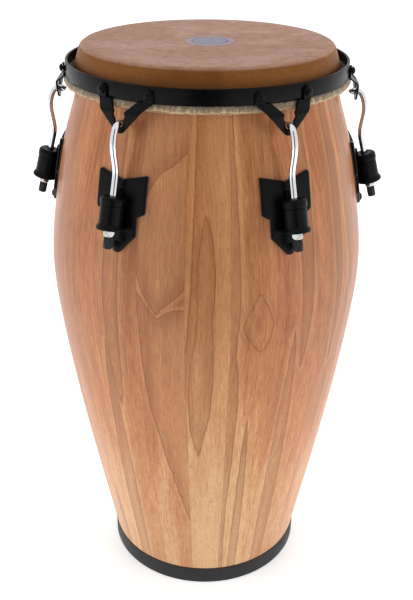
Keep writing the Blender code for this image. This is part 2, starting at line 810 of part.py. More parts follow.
def hook_route():
    """The hook's centre line, as (radial, height) points from its cut tip to the end of its thread."""
    bend_inside = SEAT_BEND - ROD_RADIUS
    fall = (BRACKET_THICKNESS / 2 + SEAT_LEAD) ** 2 / (2 * bend_inside)
    apex = Vector((bracket_middle - SEAT_LEAD, notch_height + GAP + fall + ROD_RADIUS))
    centre = apex - Vector((0, SEAT_BEND))
    tip_turn = math.pi / 2 + math.asin(TIP_REACH / SEAT_BEND)
    crook = arc(centre, SEAT_BEND, tip_turn, math.pi / 2 - SHOULDER_TURN, SEAT_STEPS)
    seat = [Vector(point) for point in crook]
    leaving = Vector((math.cos(SHOULDER_TURN), -math.sin(SHOULDER_TURN)))
    bulge = apex + Vector((BULGE_REACH, -BULGE_DROP))
    down = Vector((0, -1))
    waist = rod_at_height(apex.y - WAIST_DROP) + Vector((WAIST_STEP, 0))
    straight = rod_at_height(apex.y - ROD_START_DROP)
    thread_end = on_rod(nut_foot() - GAP - THREAD_DEPTH)
    return [
        *seat,
        *smooth_run(seat[-1], bulge, leaving, down, RUN_STEPS),
        *smooth_run(bulge, waist, down, down, RUN_STEPS),
        *smooth_run(waist, straight, down, -rod_up, RUN_STEPS),
        thread_end,
    ]


def nut_foot():
    """Distance up the rod, below the casing's foot, of the nut's lower face."""
    return -GAP - NUT_HEIGHT


def hook():
    """Bent steel rod: hooked tip, bulge, waist, and a straight shank with the thread."""
    origin = on_rod(0.0)
    curve = bpy.data.curves.new("hook", "CURVE")
    curve.dimensions = "3D"
    route = hook_route()
    spline = curve.splines.new("POLY")
    spline.points.add(len(route) - 1)
    for point, place_on in zip(spline.points, route):
        point.co = (place_on.x - origin.x, 0, place_on.y - origin.y, 1)
    curve.bevel_depth = ROD_RADIUS
    curve.bevel_resolution = 2
    curve.use_fill_caps = True
    curve.materials.append(CHROME)
    return curve


def lug_turn(index):
    """Turn from a lug's own frame, with X outwards, to its place round the drum."""
    spacing = math.tau / LUGS
    return Matrix.Rotation(spacing * (index + 0.5) - math.pi / 2, 4, "Z")


def build():
    """Clear the scene and make every piece."""
    for piece in list(bpy.data.objects):
        bpy.data.objects.remove(piece)
    place("stave_shell", stave_shell())
    place("foot_ring", foot_ring())
    place("drum_head", drum_head())
    tension = bpy.data.objects.new("rim_tension", None)
    bpy.context.scene.collection.objects.link(tension)
    place("rim", rim(), tension)
    place("flesh_hoop", flesh_hoop(), tension)
    place("head_tuck", head_tuck(), tension)
    shared = {
        "plate": side_plate(),
        "casing": lug_casing(),
        "bolt": mounting_bolt(),
        "bracket": rim_bracket(),
        "rivet": rivet(),
        "hook": hook(),
        "nut": lug_nut(),
        "cap": end_cap(),
    }
    for i in range(LUGS):
        number = i + 1
        lug = bpy.data.objects.new(f"lug_{number}", None)
        bpy.context.scene.collection.objects.link(lug)
        lug.matrix_local = lug_turn(i)
        place(f"side_plate_{number}", shared["plate"], lug)
        place(f"lug_casing_{number}", shared["casing"], lug, rod_matrix(0.0))
        place(f"mounting_bolt_{number}", shared["bolt"], lug, bolt_matrix())
        place(f"rim_bracket_{number}", shared["bracket"], lug)
        place(f"rivet_left_{number}", shared["rivet"], lug, rivet_matrix(-1))
        place(f"rivet_right_{number}", shared["rivet"], lug, rivet_matrix(1))
        foot = on_rod(0.0)
        place(f"hook_{number}", shared["hook"], lug, Matrix.Translation((foot.x, 0, foot.y)))
        place(f"lug_nut_{number}", shared["nut"], lug, rod_matrix(-GAP - NUT_HEIGHT / 2))
        place(f"end_cap_{number}", shared["cap"], lug, rod_matrix(nut_foot() - GAP))


build()
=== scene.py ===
"""The dressed conga: staved shell, hide head, black tuning hardware and chromed hooks."""

import bmesh
import bpy
import numpy as np
from mathutils import Matrix, Vector


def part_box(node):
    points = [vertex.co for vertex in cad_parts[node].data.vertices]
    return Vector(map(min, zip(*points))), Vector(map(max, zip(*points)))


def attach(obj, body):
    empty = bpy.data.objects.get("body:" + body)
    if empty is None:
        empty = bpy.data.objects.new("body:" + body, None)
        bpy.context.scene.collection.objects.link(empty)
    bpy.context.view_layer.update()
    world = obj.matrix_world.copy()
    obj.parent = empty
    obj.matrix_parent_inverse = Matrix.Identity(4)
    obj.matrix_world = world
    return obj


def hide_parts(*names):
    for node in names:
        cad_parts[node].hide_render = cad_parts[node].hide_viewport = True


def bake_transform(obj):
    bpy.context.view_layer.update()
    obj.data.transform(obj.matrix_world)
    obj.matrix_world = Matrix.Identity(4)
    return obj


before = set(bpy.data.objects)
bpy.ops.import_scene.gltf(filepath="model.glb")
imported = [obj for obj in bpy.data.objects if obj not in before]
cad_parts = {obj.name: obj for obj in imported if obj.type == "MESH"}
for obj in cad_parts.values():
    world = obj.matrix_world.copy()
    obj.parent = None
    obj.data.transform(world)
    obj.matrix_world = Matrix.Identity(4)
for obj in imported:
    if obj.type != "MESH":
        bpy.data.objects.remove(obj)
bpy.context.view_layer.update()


# The shell. Staves of rubberwood, coopered and glued edge to edge into one barrel, then turned smooth
# and lacquered. Its top is rounded over to the bearing edge under the skin, and its foot is stepped to
# stand in the rubber ring.
SHELL_STATIONS = (
    (0.0000, 0.1256),
    (0.2000, 0.1635),
    (0.3800, 0.1908),
    (0.4600, 0.1954),
    (0.5400, 0.1852),
    (0.6200, 0.1682),
    (0.6600, 0.1561),
    (0.7063, 0.1485),
)
WALL = 0.0115
BEARING_ROUND = 0.0060
BEARING_FLAT = 0.0015
GAP = 0.0003
FOOT_FLOOR = 0.0040
FOOT_REBATE = 0.0037

foot_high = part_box("foot_ring")[1]
foot_radius = foot_high.x
foot_height = foot_high.z
edge_height, edge_radius = SHELL_STATIONS[-1]
bearing_centre = (edge_radius - BEARING_ROUND, edge_height)
shell_top = edge_height + BEARING_ROUND


def natural_spline(stations):
    """Radius over height: a cubic between each two stations, with equal slope and bending where two meet,
    and no bending at the ends."""
    heights, radii = np.array(stations).T
    spans = np.diff(heights)
    rises = np.diff(radii) / spans
    rates = np.eye(len(heights))
    turns = np.zeros(len(heights))
    inner = np.arange(1, len(heights) - 1)
    rates[inner, inner - 1] = spans[:-1]
    rates[inner, inner] = 2 * (spans[:-1] + spans[1:])
    rates[inner, inner + 1] = spans[1:]
    turns[inner] = 3 * np.diff(rises)
    bend = np.linalg.solve(rates, turns)

    def radius_at(height):
        i = np.clip(np.searchsorted(heights, height) - 1, 0, len(spans) - 1)
        step = height - heights[i]
        slope = rises[i] - spans[i] * (2 * bend[i] + bend[i + 1]) / 3
        cubic = (bend[i + 1] - bend[i]) / (3 * spans[i])
        return radii[i] + slope * step + bend[i] * step ** 2 + cubic * step ** 3

    return radius_at


def arc(centre, radius, start, end, count):
    """Points (r cos a, r sin a) about a centre, for angles evenly spread from start to end in degrees."""
    angle = np.radians(np.linspace(start, end, count))
    return np.stack([centre[0] + radius * np.cos(angle), centre[1] + radius * np.sin(angle)], -1)


def full_turn(count):
    """Angles evenly spread round a full turn."""
    return np.linspace(0, 2 * np.pi, count, endpoint=False)


def grid_faces(points, ring=False):
    """Quads of a grid whose rows close on themselves, as point numbers row by row. In a ring the last row
    joins the first."""
    rows, columns = points.shape[:2]
    row, column = np.arange(rows if ring else rows - 1)[:, None], np.arange(columns)
    next_row, next_column = (row + 1) % rows, (column + 1) % columns
    corners = (row * columns + column, row * columns + next_column,
               next_row * columns + next_column, next_row * columns + column)
    return np.stack(corners, -1).reshape(-1, 4)


def revolved(profile, azimuths):
    """A profile of (radius, height) carried round the axis: at azimuth a the point is (r sin a, -r cos a,
    h). Rows follow the profile and columns the azimuth."""
    radius, height = profile[:, :1], profile[:, 1:]
    return np.stack([radius * np.sin(azimuths), -radius * np.cos(azimuths), height + 0 * azimuths], -1)


def add(name, data):
    """A new object in the scene."""
    made = bpy.data.objects.new(name, data)
    bpy.context.scene.collection.objects.link(made)
    return made


def piece(name, points, faces, finish, body, replaced=(), sharp=35):
    """A mesh object that rides on a body, with the material of a finish; the finish's slot is not used.
    Points that coincide are merged, faces are turned outwards, and edges over the sharp angle stay hard."""
    material, slot = finish
    mesh = bpy.data.meshes.new(name)
    mesh.from_pydata(points.reshape(-1, 3), [], faces.tolist())
    shape = bmesh.new()
    shape.from_mesh(mesh)
    bmesh.ops.remove_doubles(shape, verts=shape.verts, dist=1e-7)
    bmesh.ops.recalc_face_normals(shape, faces=shape.faces)
    shape.to_mesh(mesh)
    shape.free()
    mesh.shade_smooth()
    mesh.set_sharp_from_angle(angle=np.radians(sharp))
    mesh.materials.append(material)
    made = add(name, mesh)
    if body:
        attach(made, body)
    if replaced:
        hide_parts(*replaced)
    return made


def feed(node, inputs):
    """Set each input of a node to a value, or link it from another node's socket."""
    for key, value in inputs.items():
        if isinstance(value, bpy.types.NodeSocket):
            node.id_data.links.new(value, node.inputs[key])
        else:
            node.inputs[key].default_value = value


def put(near, kind, inputs=None, **settings):
    """Add a node, with its settings and inputs, to the tree that another node or socket is in."""
    node = near.id_data.nodes.new(kind)
    for key, value in settings.items():
        setattr(node, key, value)
    feed(node, inputs or {})
    return node


def blank_material(name):
    """A new material, its Principled shader and the place in Object coordinates."""
    material = bpy.data.materials.new(name)
    material.use_nodes = True
    shader = material.node_tree.nodes["Principled BSDF"]
    return material, shader, put(shader, "ShaderNodeTexCoord").outputs["Object"]


def parts(vector):
    """The three numbers of a vector."""
    return put(vector, "ShaderNodeSeparateXYZ", {0: vector}).outputs


def calc(operation, *values):
    """An operation on one number or socket, or carried through several: their sum, product or maximum."""
    near = next(value for value in values if isinstance(value, bpy.types.NodeSocket))
    result = values[0]
    for value in values[1:] or (0.0,):
        result = put(near, "ShaderNodeMath", {0: result, 1: value}, operation=operation).outputs[0]
    return result


def about(value, size):
    """How far a value is from one half, times a size."""
    return calc("MULTIPLY", calc("SUBTRACT", value, 0.5), size)


def span(value, low, high, to_low=0.0, to_high=1.0):
    """A value carried smoothly from one range to another, and held at the ends."""
    ranges = {0: value, 1: low, 2: high, 3: to_low, 4: to_high}
    return put(value, "ShaderNodeMapRange", ranges, interpolation_type="SMOOTHSTEP").outputs[0]


def blended(share, first, second):
    """Two colours mixed by a share."""
    return put(share, "ShaderNodeMix", {0: share, 6: first, 7: second}, data_type="RGBA").outputs[2]


def layered(colour, *layers):
    """A colour with others laid over it in turn, each given as its share and its shown red, green, blue."""
    for share, *over in layers:
        colour = blended(share, colour, rgb(*over))
    return colour


def noise(place, scale, detail=2.0, roughness=0.5, distortion=0.0):
    """Smooth noise from 0 to 1 at a place."""
    return put(place, "ShaderNodeTexNoise", {
        "Vector": place, "Scale": scale, "Detail": detail, "Roughness": roughness, "Distortion": distortion,
    }).outputs[0]


def mapped(place, scale, shift=(0, 0, 0)):
    """A place scaled and then shifted."""
    return put(place, "ShaderNodeMapping", {"Vector": place, "Scale": scale, "Location": shift}).outputs[0]


def streaks(place, across, along, detail=2.0, roughness=0.5):
    """Noise drawn out up the drum: so many periods a metre across the grain and along it."""
    return noise(mapped(place, (across, across, along)), 1.0, detail, roughness)


def bump(height, distance):
    """Normals raised by a height field, in metres."""
    return put(height, "ShaderNodeBump", {"Height": height, "Distance": distance, "Strength": 1.0}).outputs[0]


def rgb(red, green, blue):
    """A colour as a display shows it, 0 to 255, turned to linear light: below 0.04 of full it is divided by
    12.92, and above it the 2.4 power of (c + 0.055) / 1.055 is taken."""
    shown = np.array([red, green, blue]) / 255
    linear = np.where(shown < 0.04045, shown / 12.92, ((shown + 0.055) / 1.055) ** 2.4)
    return (*linear.tolist(), 1.0)


# The joints between the five staves in front, by azimuth in degrees, as read off the picture, and the
# number of the others, whose widths differ a little
FRONT_EDGES = (-40.5, -22.5, -5.9, 9.5, 25.8, 42.5)
OTHER_STAVES = 16
# Tones of the staves in front, dark to light, and hues, red to golden, from left to right
FRONT_TONES = (0.50, 0.50, 0.61, 0.58, 0.50)
FRONT_HUES = (0.56, 0.40, 0.68, 0.70, 0.52)
STAVE_COLUMNS = 18
SIDE_ROWS = 150
INSIDE_ROWS = 44

chance = np.random.default_rng(11)
shell_radius = natural_spline(SHELL_STATIONS)
gap_round = 360 - (FRONT_EDGES[-1] - FRONT_EDGES[0])
widths = chance.uniform(0.85, 1.15, OTHER_STAVES)
others = FRONT_EDGES[-1] + np.cumsum(widths)[:-1] / widths.sum() * gap_round
stave_edges = np.array([*FRONT_EDGES, *others, FRONT_EDGES[0] + 360])
stave_count = len(stave_edges) - 1
tone = chance.uniform(0.42, 0.58, stave_count)
hue = chance.uniform(0.45, 0.75, stave_count)
tone[:len(FRONT_TONES)] = FRONT_TONES
hue[:len(FRONT_HUES)] = FRONT_HUES

# Growth lines read off the front staves, as azimuth and height. Late wood lies inside each closed line,
# darkest at its edge. The first three cross the second stave and run on past its sides
ABOVE_FLAME = (
    (-2, 0.645), (-6.2, 0.629), (-8.7, 0.622), (-11.2, 0.615), (-14, 0.61), (-16.1, 0.604),
    (-18, 0.596), (-20.2, 0.582), (-23, 0.552), (-28, 0.5), (-40, 0.9), (2, 0.9),
)
FLAME = (
    (2, 0.5), (-6.1, 0.484), (-7.5, 0.477), (-9.7, 0.471), (-11.4, 0.464), (-13.6, 0.459),
    (-15.3, 0.449), (-18.5, 0.464), (-20.9, 0.48), (-22.5, 0.497), (-28, 0.54), (-28, 0.9),
    (2, 0.9),
)
SLANT = (
    (2, 0.462), (-9.5, 0.457), (-12.4, 0.452), (-14.8, 0.444), (-17.5, 0.452), (-22.6, 0.476),
    (-21.8, 0.437), (-21.4, 0.399), (-20.8, 0.358), (-19.7, 0.315), (-17.6, 0.28), (-15.5, 0.242),
    (-13, 0.208), (-10.3, 0.173), (-6.6, 0.132), (-2, 0.08), (12, 0.08),
)
LEAF = (
    (1.2, 0.568), (0.2, 0.554), (-0.7, 0.536), (-1.6, 0.513), (-1.8, 0.48), (-1.6, 0.452), (-2.4, 0.422),
    (-3.9, 0.391), (-4.9, 0.354), (-5, 0.323), (-4.5, 0.286), (-2.9, 0.26), (-1.5, 0.244), (0.5, 0.277),
    (2.4, 0.306), (3.3, 0.333), (3.7, 0.367), (3.7, 0.407), (3.2, 0.448), (3.9, 0.473), (4, 0.507),
    (3.3, 0.539), (2.1, 0.556),
)
BESIDE_PALE_BAND = (
    (-2.4, 0.9), (-2.6, 0.62), (-3, 0.56), (-3.8, 0.48), (-5, 0.42), (-7.5, 0.37), (-14, 0.3),
    (-14, -0.2), (40, -0.2), (40, 0.9),
)
BESIDE_KNOT = (
    (0, 0.9), (10.6, 0.9), (11, 0.64), (12, 0.56), (12.5, 0.489), (12.5, 0.457), (11.7, 0.428),
    (11.5, 0.397), (12.8, 0.364), (13.1, 0.321), (12.6, 0.274), (12.2, 0.225), (11.2, 0.16), (11.5, 0.0),
    (11.5, -0.2), (0, -0.2),
)
KNOT = (
    (19.2, 0.476), (17.5, 0.465), (15.2, 0.451), (13.9, 0.437), (14.3, 0.428), (15.5, 0.421), (18.3, 0.406),
    (20.2, 0.4), (21.8, 0.404), (23.6, 0.418), (24.3, 0.436), (22.2, 0.457),
)
# Leaves of late wood in front: stave, layer, middle, low and high end, and half width in degrees
FRONT_LEAVES = (
    (3, 0, 17.5, -0.16, 0.30, 2.2),
    (0, 0, -33.0, 0.30, 0.80, 3.0),
    (0, 1, -36.5, -0.10, 0.40, 3.4),
    (4, 0, 33.5, -0.15, 0.42, 3.6),
    (4, 1, 38.0, 0.36, 0.80, 2.6),
)
# Elsewhere: the heights that each layer's leaves lie between, and the share of them that are there
LEAF_HEIGHTS = ((-0.30, 0.20), (0.05, 0.50), (0.34, 1.00))
LEAF_SHARE = 0.4
KNOT_STAVE = 3
# A degree round the drum taken as a length, and the depth where no growth line is near
DEGREE = 0.0031
FAR_OUTSIDE = -0.05
# The shell's attributes with the count of their numbers, and its colours: dark, middling and light, in a
# reddish stave and in a golden one
WOOD_MARKS = (("stave_marks", 3), ("late_wood", 3), ("joint", 1), ("knot", 1))
WOOD_RAMPS = (
    ((144, 80, 48), (190, 122, 80), (222, 176, 134)),
    ((146, 88, 47), (192, 130, 80), (224, 182, 132)),
)


def shell_profile():
    """Up the outside from the foot's step, over the bearing edge, down the inside and round the foot."""
    rebate = foot_radius - FOOT_REBATE - GAP
    step = foot_height + GAP
    outer = np.linspace(step, edge_height, SIDE_ROWS)
    inner = np.linspace(edge_height - WALL, step, INSIDE_ROWS)
    return np.concatenate([
        np.stack([shell_radius(outer), outer], -1),
        arc(bearing_centre, BEARING_ROUND, 0, 90, 9)[1:],
        [(bearing_centre[0] - BEARING_FLAT, shell_top)],
        np.stack([shell_radius(inner) - WALL, inner], -1),
        [(rebate - WALL, FOOT_FLOOR + GAP), (rebate, FOOT_FLOOR + GAP), (rebate, step)],
    ])


def edge_distance(points, outline):
    """Least distance from each point to a closed outline of straight segments."""
    start, end = outline, np.roll(outline, -1, axis=0)
    run = end - start
    squared = np.maximum((run ** 2).sum(-1), 1e-14)
    share = np.clip(((points[..., None, :] - start) * run).sum(-1) / squared, 0, 1)
    return np.linalg.norm(points[..., None, :] - start - share[..., None] * run, axis=-1).min(-1)


def depth_inside(points, outline):
    """Distance to a closed outline, positive inside it and negative outside. A point is inside if a ray
    from it, across, meets the outline an odd number of times."""
    start, end = outline, np.roll(outline, -1, axis=0)
    across, up = points[..., :1], points[..., 1:]
    meets = (start[:, 1] > up) != (end[:, 1] > up)
    rise = np.where(end[:, 1] == start[:, 1], 1.0, end[:, 1] - start[:, 1])
    at = start[:, 0] + (up - start[:, 1]) * (end[:, 0] - start[:, 0]) / rise
    inside = (meets & (across < at)).sum(-1) % 2
    return edge_distance(points, outline) * np.where(inside, 1, -1)


def leaf(middle, low, high, half):
    """A pointed leaf of late wood: at a share t of its height its half width is half sin(pi t^0.8)^0.7."""
    t = np.linspace(0, 1, 15)
    width = half * np.maximum(np.sin(np.pi * t ** 0.8), 0) ** 0.7
    height = low + (high - low) * t
    left = np.stack([middle - width, height], -1)
    right = np.stack([middle + width, height], -1)
    return np.concatenate([left, right[-2:0:-1]])


def growth_lines():
    """Each closed line as its stave, its layer and its points: those read off in front, and a leaf here and
    there in the other staves. Each layer is drawn apart from the others."""
    lines = [
        (1, 0, np.array(ABOVE_FLAME)),
        (1, 1, np.array(FLAME)),
        (1, 2, np.array(SLANT)),
        (2, 0, np.array(LEAF)),
        (2, 1, np.array(BESIDE_PALE_BAND)),
        (3, 1, np.array(BESIDE_KNOT)),
    ]
    lines += [(stave, layer, leaf(*form)) for stave, layer, *form in FRONT_LEAVES]
    for stave in range(len(FRONT_TONES), stave_count):
        middle = (stave_edges[stave] + stave_edges[stave + 1]) / 2
        for layer, (low, high) in enumerate(LEAF_HEIGHTS):
            least, most = (-6, low, high - 0.15, 1.6), (6, low + 0.2, high, 5.0)
            aside, start, end, half = chance.uniform(least, most)
            if chance.random() < LEAF_SHARE:
                lines.append((stave, layer, leaf(middle + aside, start, end, half)))
    return lines


def stave_marks(profile):
    """For each corner of each face: its place across its stave, the stave's tone and its hue; the depth
    inside the growth lines of each layer; the distance to the nearest joint; and the depth in the knot."""
    row = np.arange(len(profile))
    next_row = np.roll(row, -1)
    row = np.stack([row, row, next_row, next_row], -1)
    column = np.arange(stave_count * STAVE_COLUMNS)
    stave = column // STAVE_COLUMNS
    left = (column % STAVE_COLUMNS) / STAVE_COLUMNS
    right = left + 1 / STAVE_COLUMNS
    share = np.stack([left, right, right, left], -1)
    share, row, stave = np.broadcast_arrays(share[None], row[:, None], stave[None, :, None])
    radius, height = profile[row, 0], profile[row, 1]
    degrees = stave_edges[stave + 1] - stave_edges[stave]
    width = np.radians(degrees) * radius
    outside = radius > shell_radius(height) - WALL / 2
    scale = (DEGREE, 1.0)
    places = np.stack([stave_edges[stave] + share * degrees, height], -1) * scale
    depth = np.full((*share.shape, len(LEAF_HEIGHTS)), FAR_OUTSIDE)
    for owner, layer, line in growth_lines():
        here = (stave == owner) & outside
        depth[here, layer] = np.maximum(depth[here, layer], depth_inside(places[here], line * scale))
    knot = np.full(share.shape, FAR_OUTSIDE)
    here = (stave == KNOT_STAVE) & outside
    knot[here] = depth_inside(places[here], np.array(KNOT) * scale)
    marks = np.stack([(share - 0.5) * width, tone[stave], hue[stave]], -1)
    joint = np.minimum(share, 1 - share) * width
    return marks.reshape(-1, 3), depth.reshape(-1, len(LEAF_HEIGHTS)), joint.ravel(), knot.ravel()


def wood_material():
    """Lacquered rubberwood: soft bands, fibres and pores in each stave's own tone, painted light low on the
    drum and painted shade higher up, late wood that is dark at each growth line and fades inwards, rings in
    the knot, and a hairline of glue at each joint."""
    material, shader, place = blank_material("lacquered_rubberwood")
    height = parts(place)[2]
    marks, late, joint, knot = (
        put(shader, "ShaderNodeAttribute", attribute_name=name).outputs["Vector" if size == 3 else "Fac"]
        for name, size in WOOD_MARKS
    )
    side, stave_tone, stave_hue = parts(marks)
    strayed = calc("ADD", side, about(streaks(place, 9, 5, 1), 0.02))

    def grain(across, along, detail=2.0, roughness=0.5):
        """Noise in one stave, drawn out along it, in periods a metre."""
        drawn = put(height, "ShaderNodeCombineXYZ", {
            0: calc("MULTIPLY", strayed, across),
            1: calc("MULTIPLY", height, along),
            2: calc("MULTIPLY", stave_tone, 90),
        }).outputs[0]
        return noise(drawn, 1.0, detail, roughness)

    broad, patch, band, fibre, fleck = (
        grain(38, 2.2, 1), grain(62, 9), grain(150, 6), grain(430, 34, 3, 0.65), grain(620, 75, 2, 0.6)
    )
    # The tone is raised near the foot and lowered above the belly, then lifted a little near the top: painted
    # light low down and painted shade under the rim and hardware.
    value = calc(
        "ADD", stave_tone, about(broad, 0.62), about(patch, 0.45), about(band, 0.30),
        about(fibre, 0.80), about(fleck, 0.46),
        span(height, 0.06, 0.48, 0.27, -0.32), span(height, 0.54, 0.66, 0.0, 0.05),
    )
    ramps = []
    for tints in WOOD_RAMPS:
        node = put(value, "ShaderNodeValToRGB", {0: value})
        node.color_ramp.elements.new(0.5)
        for stop, tint in zip(node.color_ramp.elements, tints):
            stop.color = rgb(*tint)
        ramps.append(node.outputs[0])
    warm = calc("ADD", stave_hue, about(broad, -0.5))
    ragged = about(grain(300, 40), 0.0024)
    shade = pale = 0.0
    for layer in parts(late):
        inside = calc("ADD", layer, ragged)
        line = span(calc("ABSOLUTE", inside), 0.0003, 0.0016, 0.60, 0.0)
        faded = span(inside, 0.0, 0.022, 0.36, 0.04)
        filled = calc("MULTIPLY", span(inside, -0.0004, 0.0008), faded)
        shade = calc("MAXIMUM", shade, line, filled)
        pale = calc("MAXIMUM", pale, span(inside, -0.009, -0.001))
    deep = calc("ADD", knot, ragged)
    line = span(calc("ABSOLUTE", deep), 0.0003, 0.0015, 0.62, 0.0)
    rings = calc("FRACT", calc("MULTIPLY", deep, 250))
    rings = calc("MULTIPLY", rings, 0.26, span(deep, -0.009, -0.004))
    eye = span(deep, 0.0105, 0.0140, 0.0, 0.45)
    shade = calc("MAXIMUM", shade, line, rings, eye)
    pale = calc("MULTIPLY", calc("SUBTRACT", pale, shade), 0.20)
    pores = span(streaks(place, 700, 60, 2, 0.6), 0.58, 0.72)
    pores = calc("MAXIMUM", pores, span(streaks(place, 1700, 110, 1), 0.60, 0.74))
    glue = span(joint, 0.00015, 0.0007, 0.24, 0.0)
    fine_relief = calc("MULTIPLY", fibre, 0.35), calc("MULTIPLY", pores, 0.4), glue
    feed(shader, {
        "Base Color": layered(
            blended(span(warm, 0.1, 0.9), *ramps),
            (calc("MAXIMUM", pale, 0.0), 226, 178, 126), (shade, 126, 70, 38),
            (calc("MULTIPLY", pores, 0.36), 112, 62, 34), (glue, 96, 54, 30),
        ),
        "Roughness": span(fibre, 0.3, 0.7, 0.40, 0.52),
        "Specular IOR Level": 0.15,
        "Coat Weight": 0.45,
        "Coat Roughness": 0.26,
        "Coat IOR": 1.45,
        "Normal": bump(calc("SUBTRACT", *fine_relief), 0.00010),
    })
    return material


profile = shell_profile()
azimuths = np.concatenate([
    np.linspace(low, high, STAVE_COLUMNS, endpoint=False) for low, high in zip(stave_edges, stave_edges[1:])
])
points = revolved(profile, np.radians(azimuths))
shell = piece("staved_shell", points, grid_faces(points, ring=True), (wood_material(), "oiled_wood"), "drum",
              ["stave_shell"])
for (name, size), values in zip(WOOD_MARKS, stave_marks(profile)):
    kind, field = ("FLOAT_VECTOR", "vector") if size == 3 else ("FLOAT", "value")
    shell.data.attributes.new(name, kind, "CORNER").data.foreach_set(field, values.ravel())


# The foot ring. Moulded black rubber with a channel for the shell's foot, pushed on and pinned from
# inside. Its outer wall is the only part seen when the drum stands.
RING_ROUND = 0.0008
FOOT_ROUND = 0.0025
FOOT_LIP = 0.0030
FOOT_LIP_HEIGHT = 0.0120
RING_COLUMNS = 240


def rubber_material():
    """Moulded rubber: bluish black, with a dusty bloom and a fine orange-peel skin."""
    material, shader, place = blank_material("moulded_rubber")
    bloom = noise(place, 40, 4, 0.6)
    feed(shader, {
        "Base Color": blended(span(bloom, 0.35, 0.75), rgb(12, 14, 18), rgb(26, 29, 34)),
        "Roughness": span(bloom, 0.3, 0.7, 0.42, 0.6),
        "Specular IOR Level": 0.4,
        "Normal": bump(noise(place, 900), 0.00008),
    })
    return material


def turned(name, profile, columns, finish, body, replaced):
    """A closed profile, listed with its material on the left hand, carried all the way round the axis."""
    points = revolved(profile, full_turn(columns))
    return piece(name, points, grid_faces(points, ring=True), finish, body, replaced)


rubber = rubber_material(), "black_rubber"
channel = foot_radius - FOOT_REBATE
inner_wall = channel - GAP - WALL - GAP
ring_profile = np.concatenate([
    arc((foot_radius - RING_ROUND, foot_height - RING_ROUND), RING_ROUND, 0, 90, 5),
    arc((channel + RING_ROUND / 2, foot_height - RING_ROUND / 2), RING_ROUND / 2, 90, 180, 4),
    [(channel, FOOT_FLOOR), (inner_wall, FOOT_FLOOR)],
    arc((inner_wall - RING_ROUND, FOOT_LIP_HEIGHT - RING_ROUND), RING_ROUND, 0, 90, 4),
    arc((inner_wall - FOOT_LIP + RING_ROUND, FOOT_LIP_HEIGHT - RING_ROUND), RING_ROUND, 90, 180, 4),
    arc((inner_wall - FOOT_LIP + RING_ROUND, RING_ROUND), RING_ROUND, 180, 270, 4),
    arc((foot_radius - FOOT_ROUND, FOOT_ROUND), FOOT_ROUND, 270, 360, 8),
])
turned("rubber_foot_ring", ring_profile, RING_COLUMNS, rubber, "drum", ["foot_ring"])


# The head. One hide, soaked and lapped round the flesh hoop, then drawn down over the bearing edge until
# it is tight. Its face is pale from wear and from painted sheen, and its collar keeps the hide's golden
# brown.
SKIN = 0.0016
SKIN_PLAY = 0.0004
HOOP_WIRE_RADIUS = 0.0024
HOOP_INSET = 0.0022
RIM_THICKNESS = 0.0030
HEAD_COLUMNS = 256
FACE_SWELL = 0.00006
BADGE_RADIUS = 0.0283
BADGE_LINE = 0.0208
BADGE_PLACE = (0.0030, -0.0030)

rim_low, rim_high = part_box("rim")
rim_radius, rim_bottom, rim_top = rim_high.x, rim_low.z, rim_high.z
head_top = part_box("drum_head")[1].z
wrap_radius = HOOP_WIRE_RADIUS + SKIN_PLAY + SKIN
hoop_centre = (rim_radius - HOOP_INSET, rim_bottom - GAP - wrap_radius)


def collar_lean():
    """Angle off vertical, in degrees, of the line that touches the bearing edge's round and the hoop."""
    across = hoop_centre[0] - bearing_centre[0]
    down = bearing_centre[1] - hoop_centre[1]
    pull = BEARING_ROUND + GAP + SKIN + HOOP_WIRE_RADIUS + SKIN_PLAY
    return np.degrees(np.arctan2(across, down) - np.arcsin(pull / np.hypot(across, down)))


def head_profile():
    """Out from the middle along the face, round the bearing edge and down the collar, then back inside."""
    lean = collar_lean()
    inner = arc(bearing_centre, BEARING_ROUND + GAP, lean, 90, 14)
    outer = arc(bearing_centre, BEARING_ROUND + GAP + SKIN, lean, 90, 14)[::-1]
    way = np.array([np.sin(np.radians(lean)), -np.cos(np.radians(lean))])
    length = (inner[0][1] - hoop_centre[1] - 0.003) / -way[1]
    share = np.linspace(0, 1, 14)[1:, None]
    face = np.linspace(0.0, outer[0][0], 34)[:-1]
    back = inner[-1][0] * np.linspace(1, 0, 12)[1:]
    return np.concatenate([
        np.stack([face, np.full(len(face), head_top)], -1),
        outer,
        outer[-1] + share * way * length,
        (inner[0] + share * way * length)[::-1],
        inner,
        np.stack([back, np.full(len(back), head_top - SKIN)], -1),
    ])


def length(vector):
    """The length of a vector."""
    return put(vector, "ShaderNodeVectorMath", {0: vector}, operation="LENGTH").outputs["Value"]


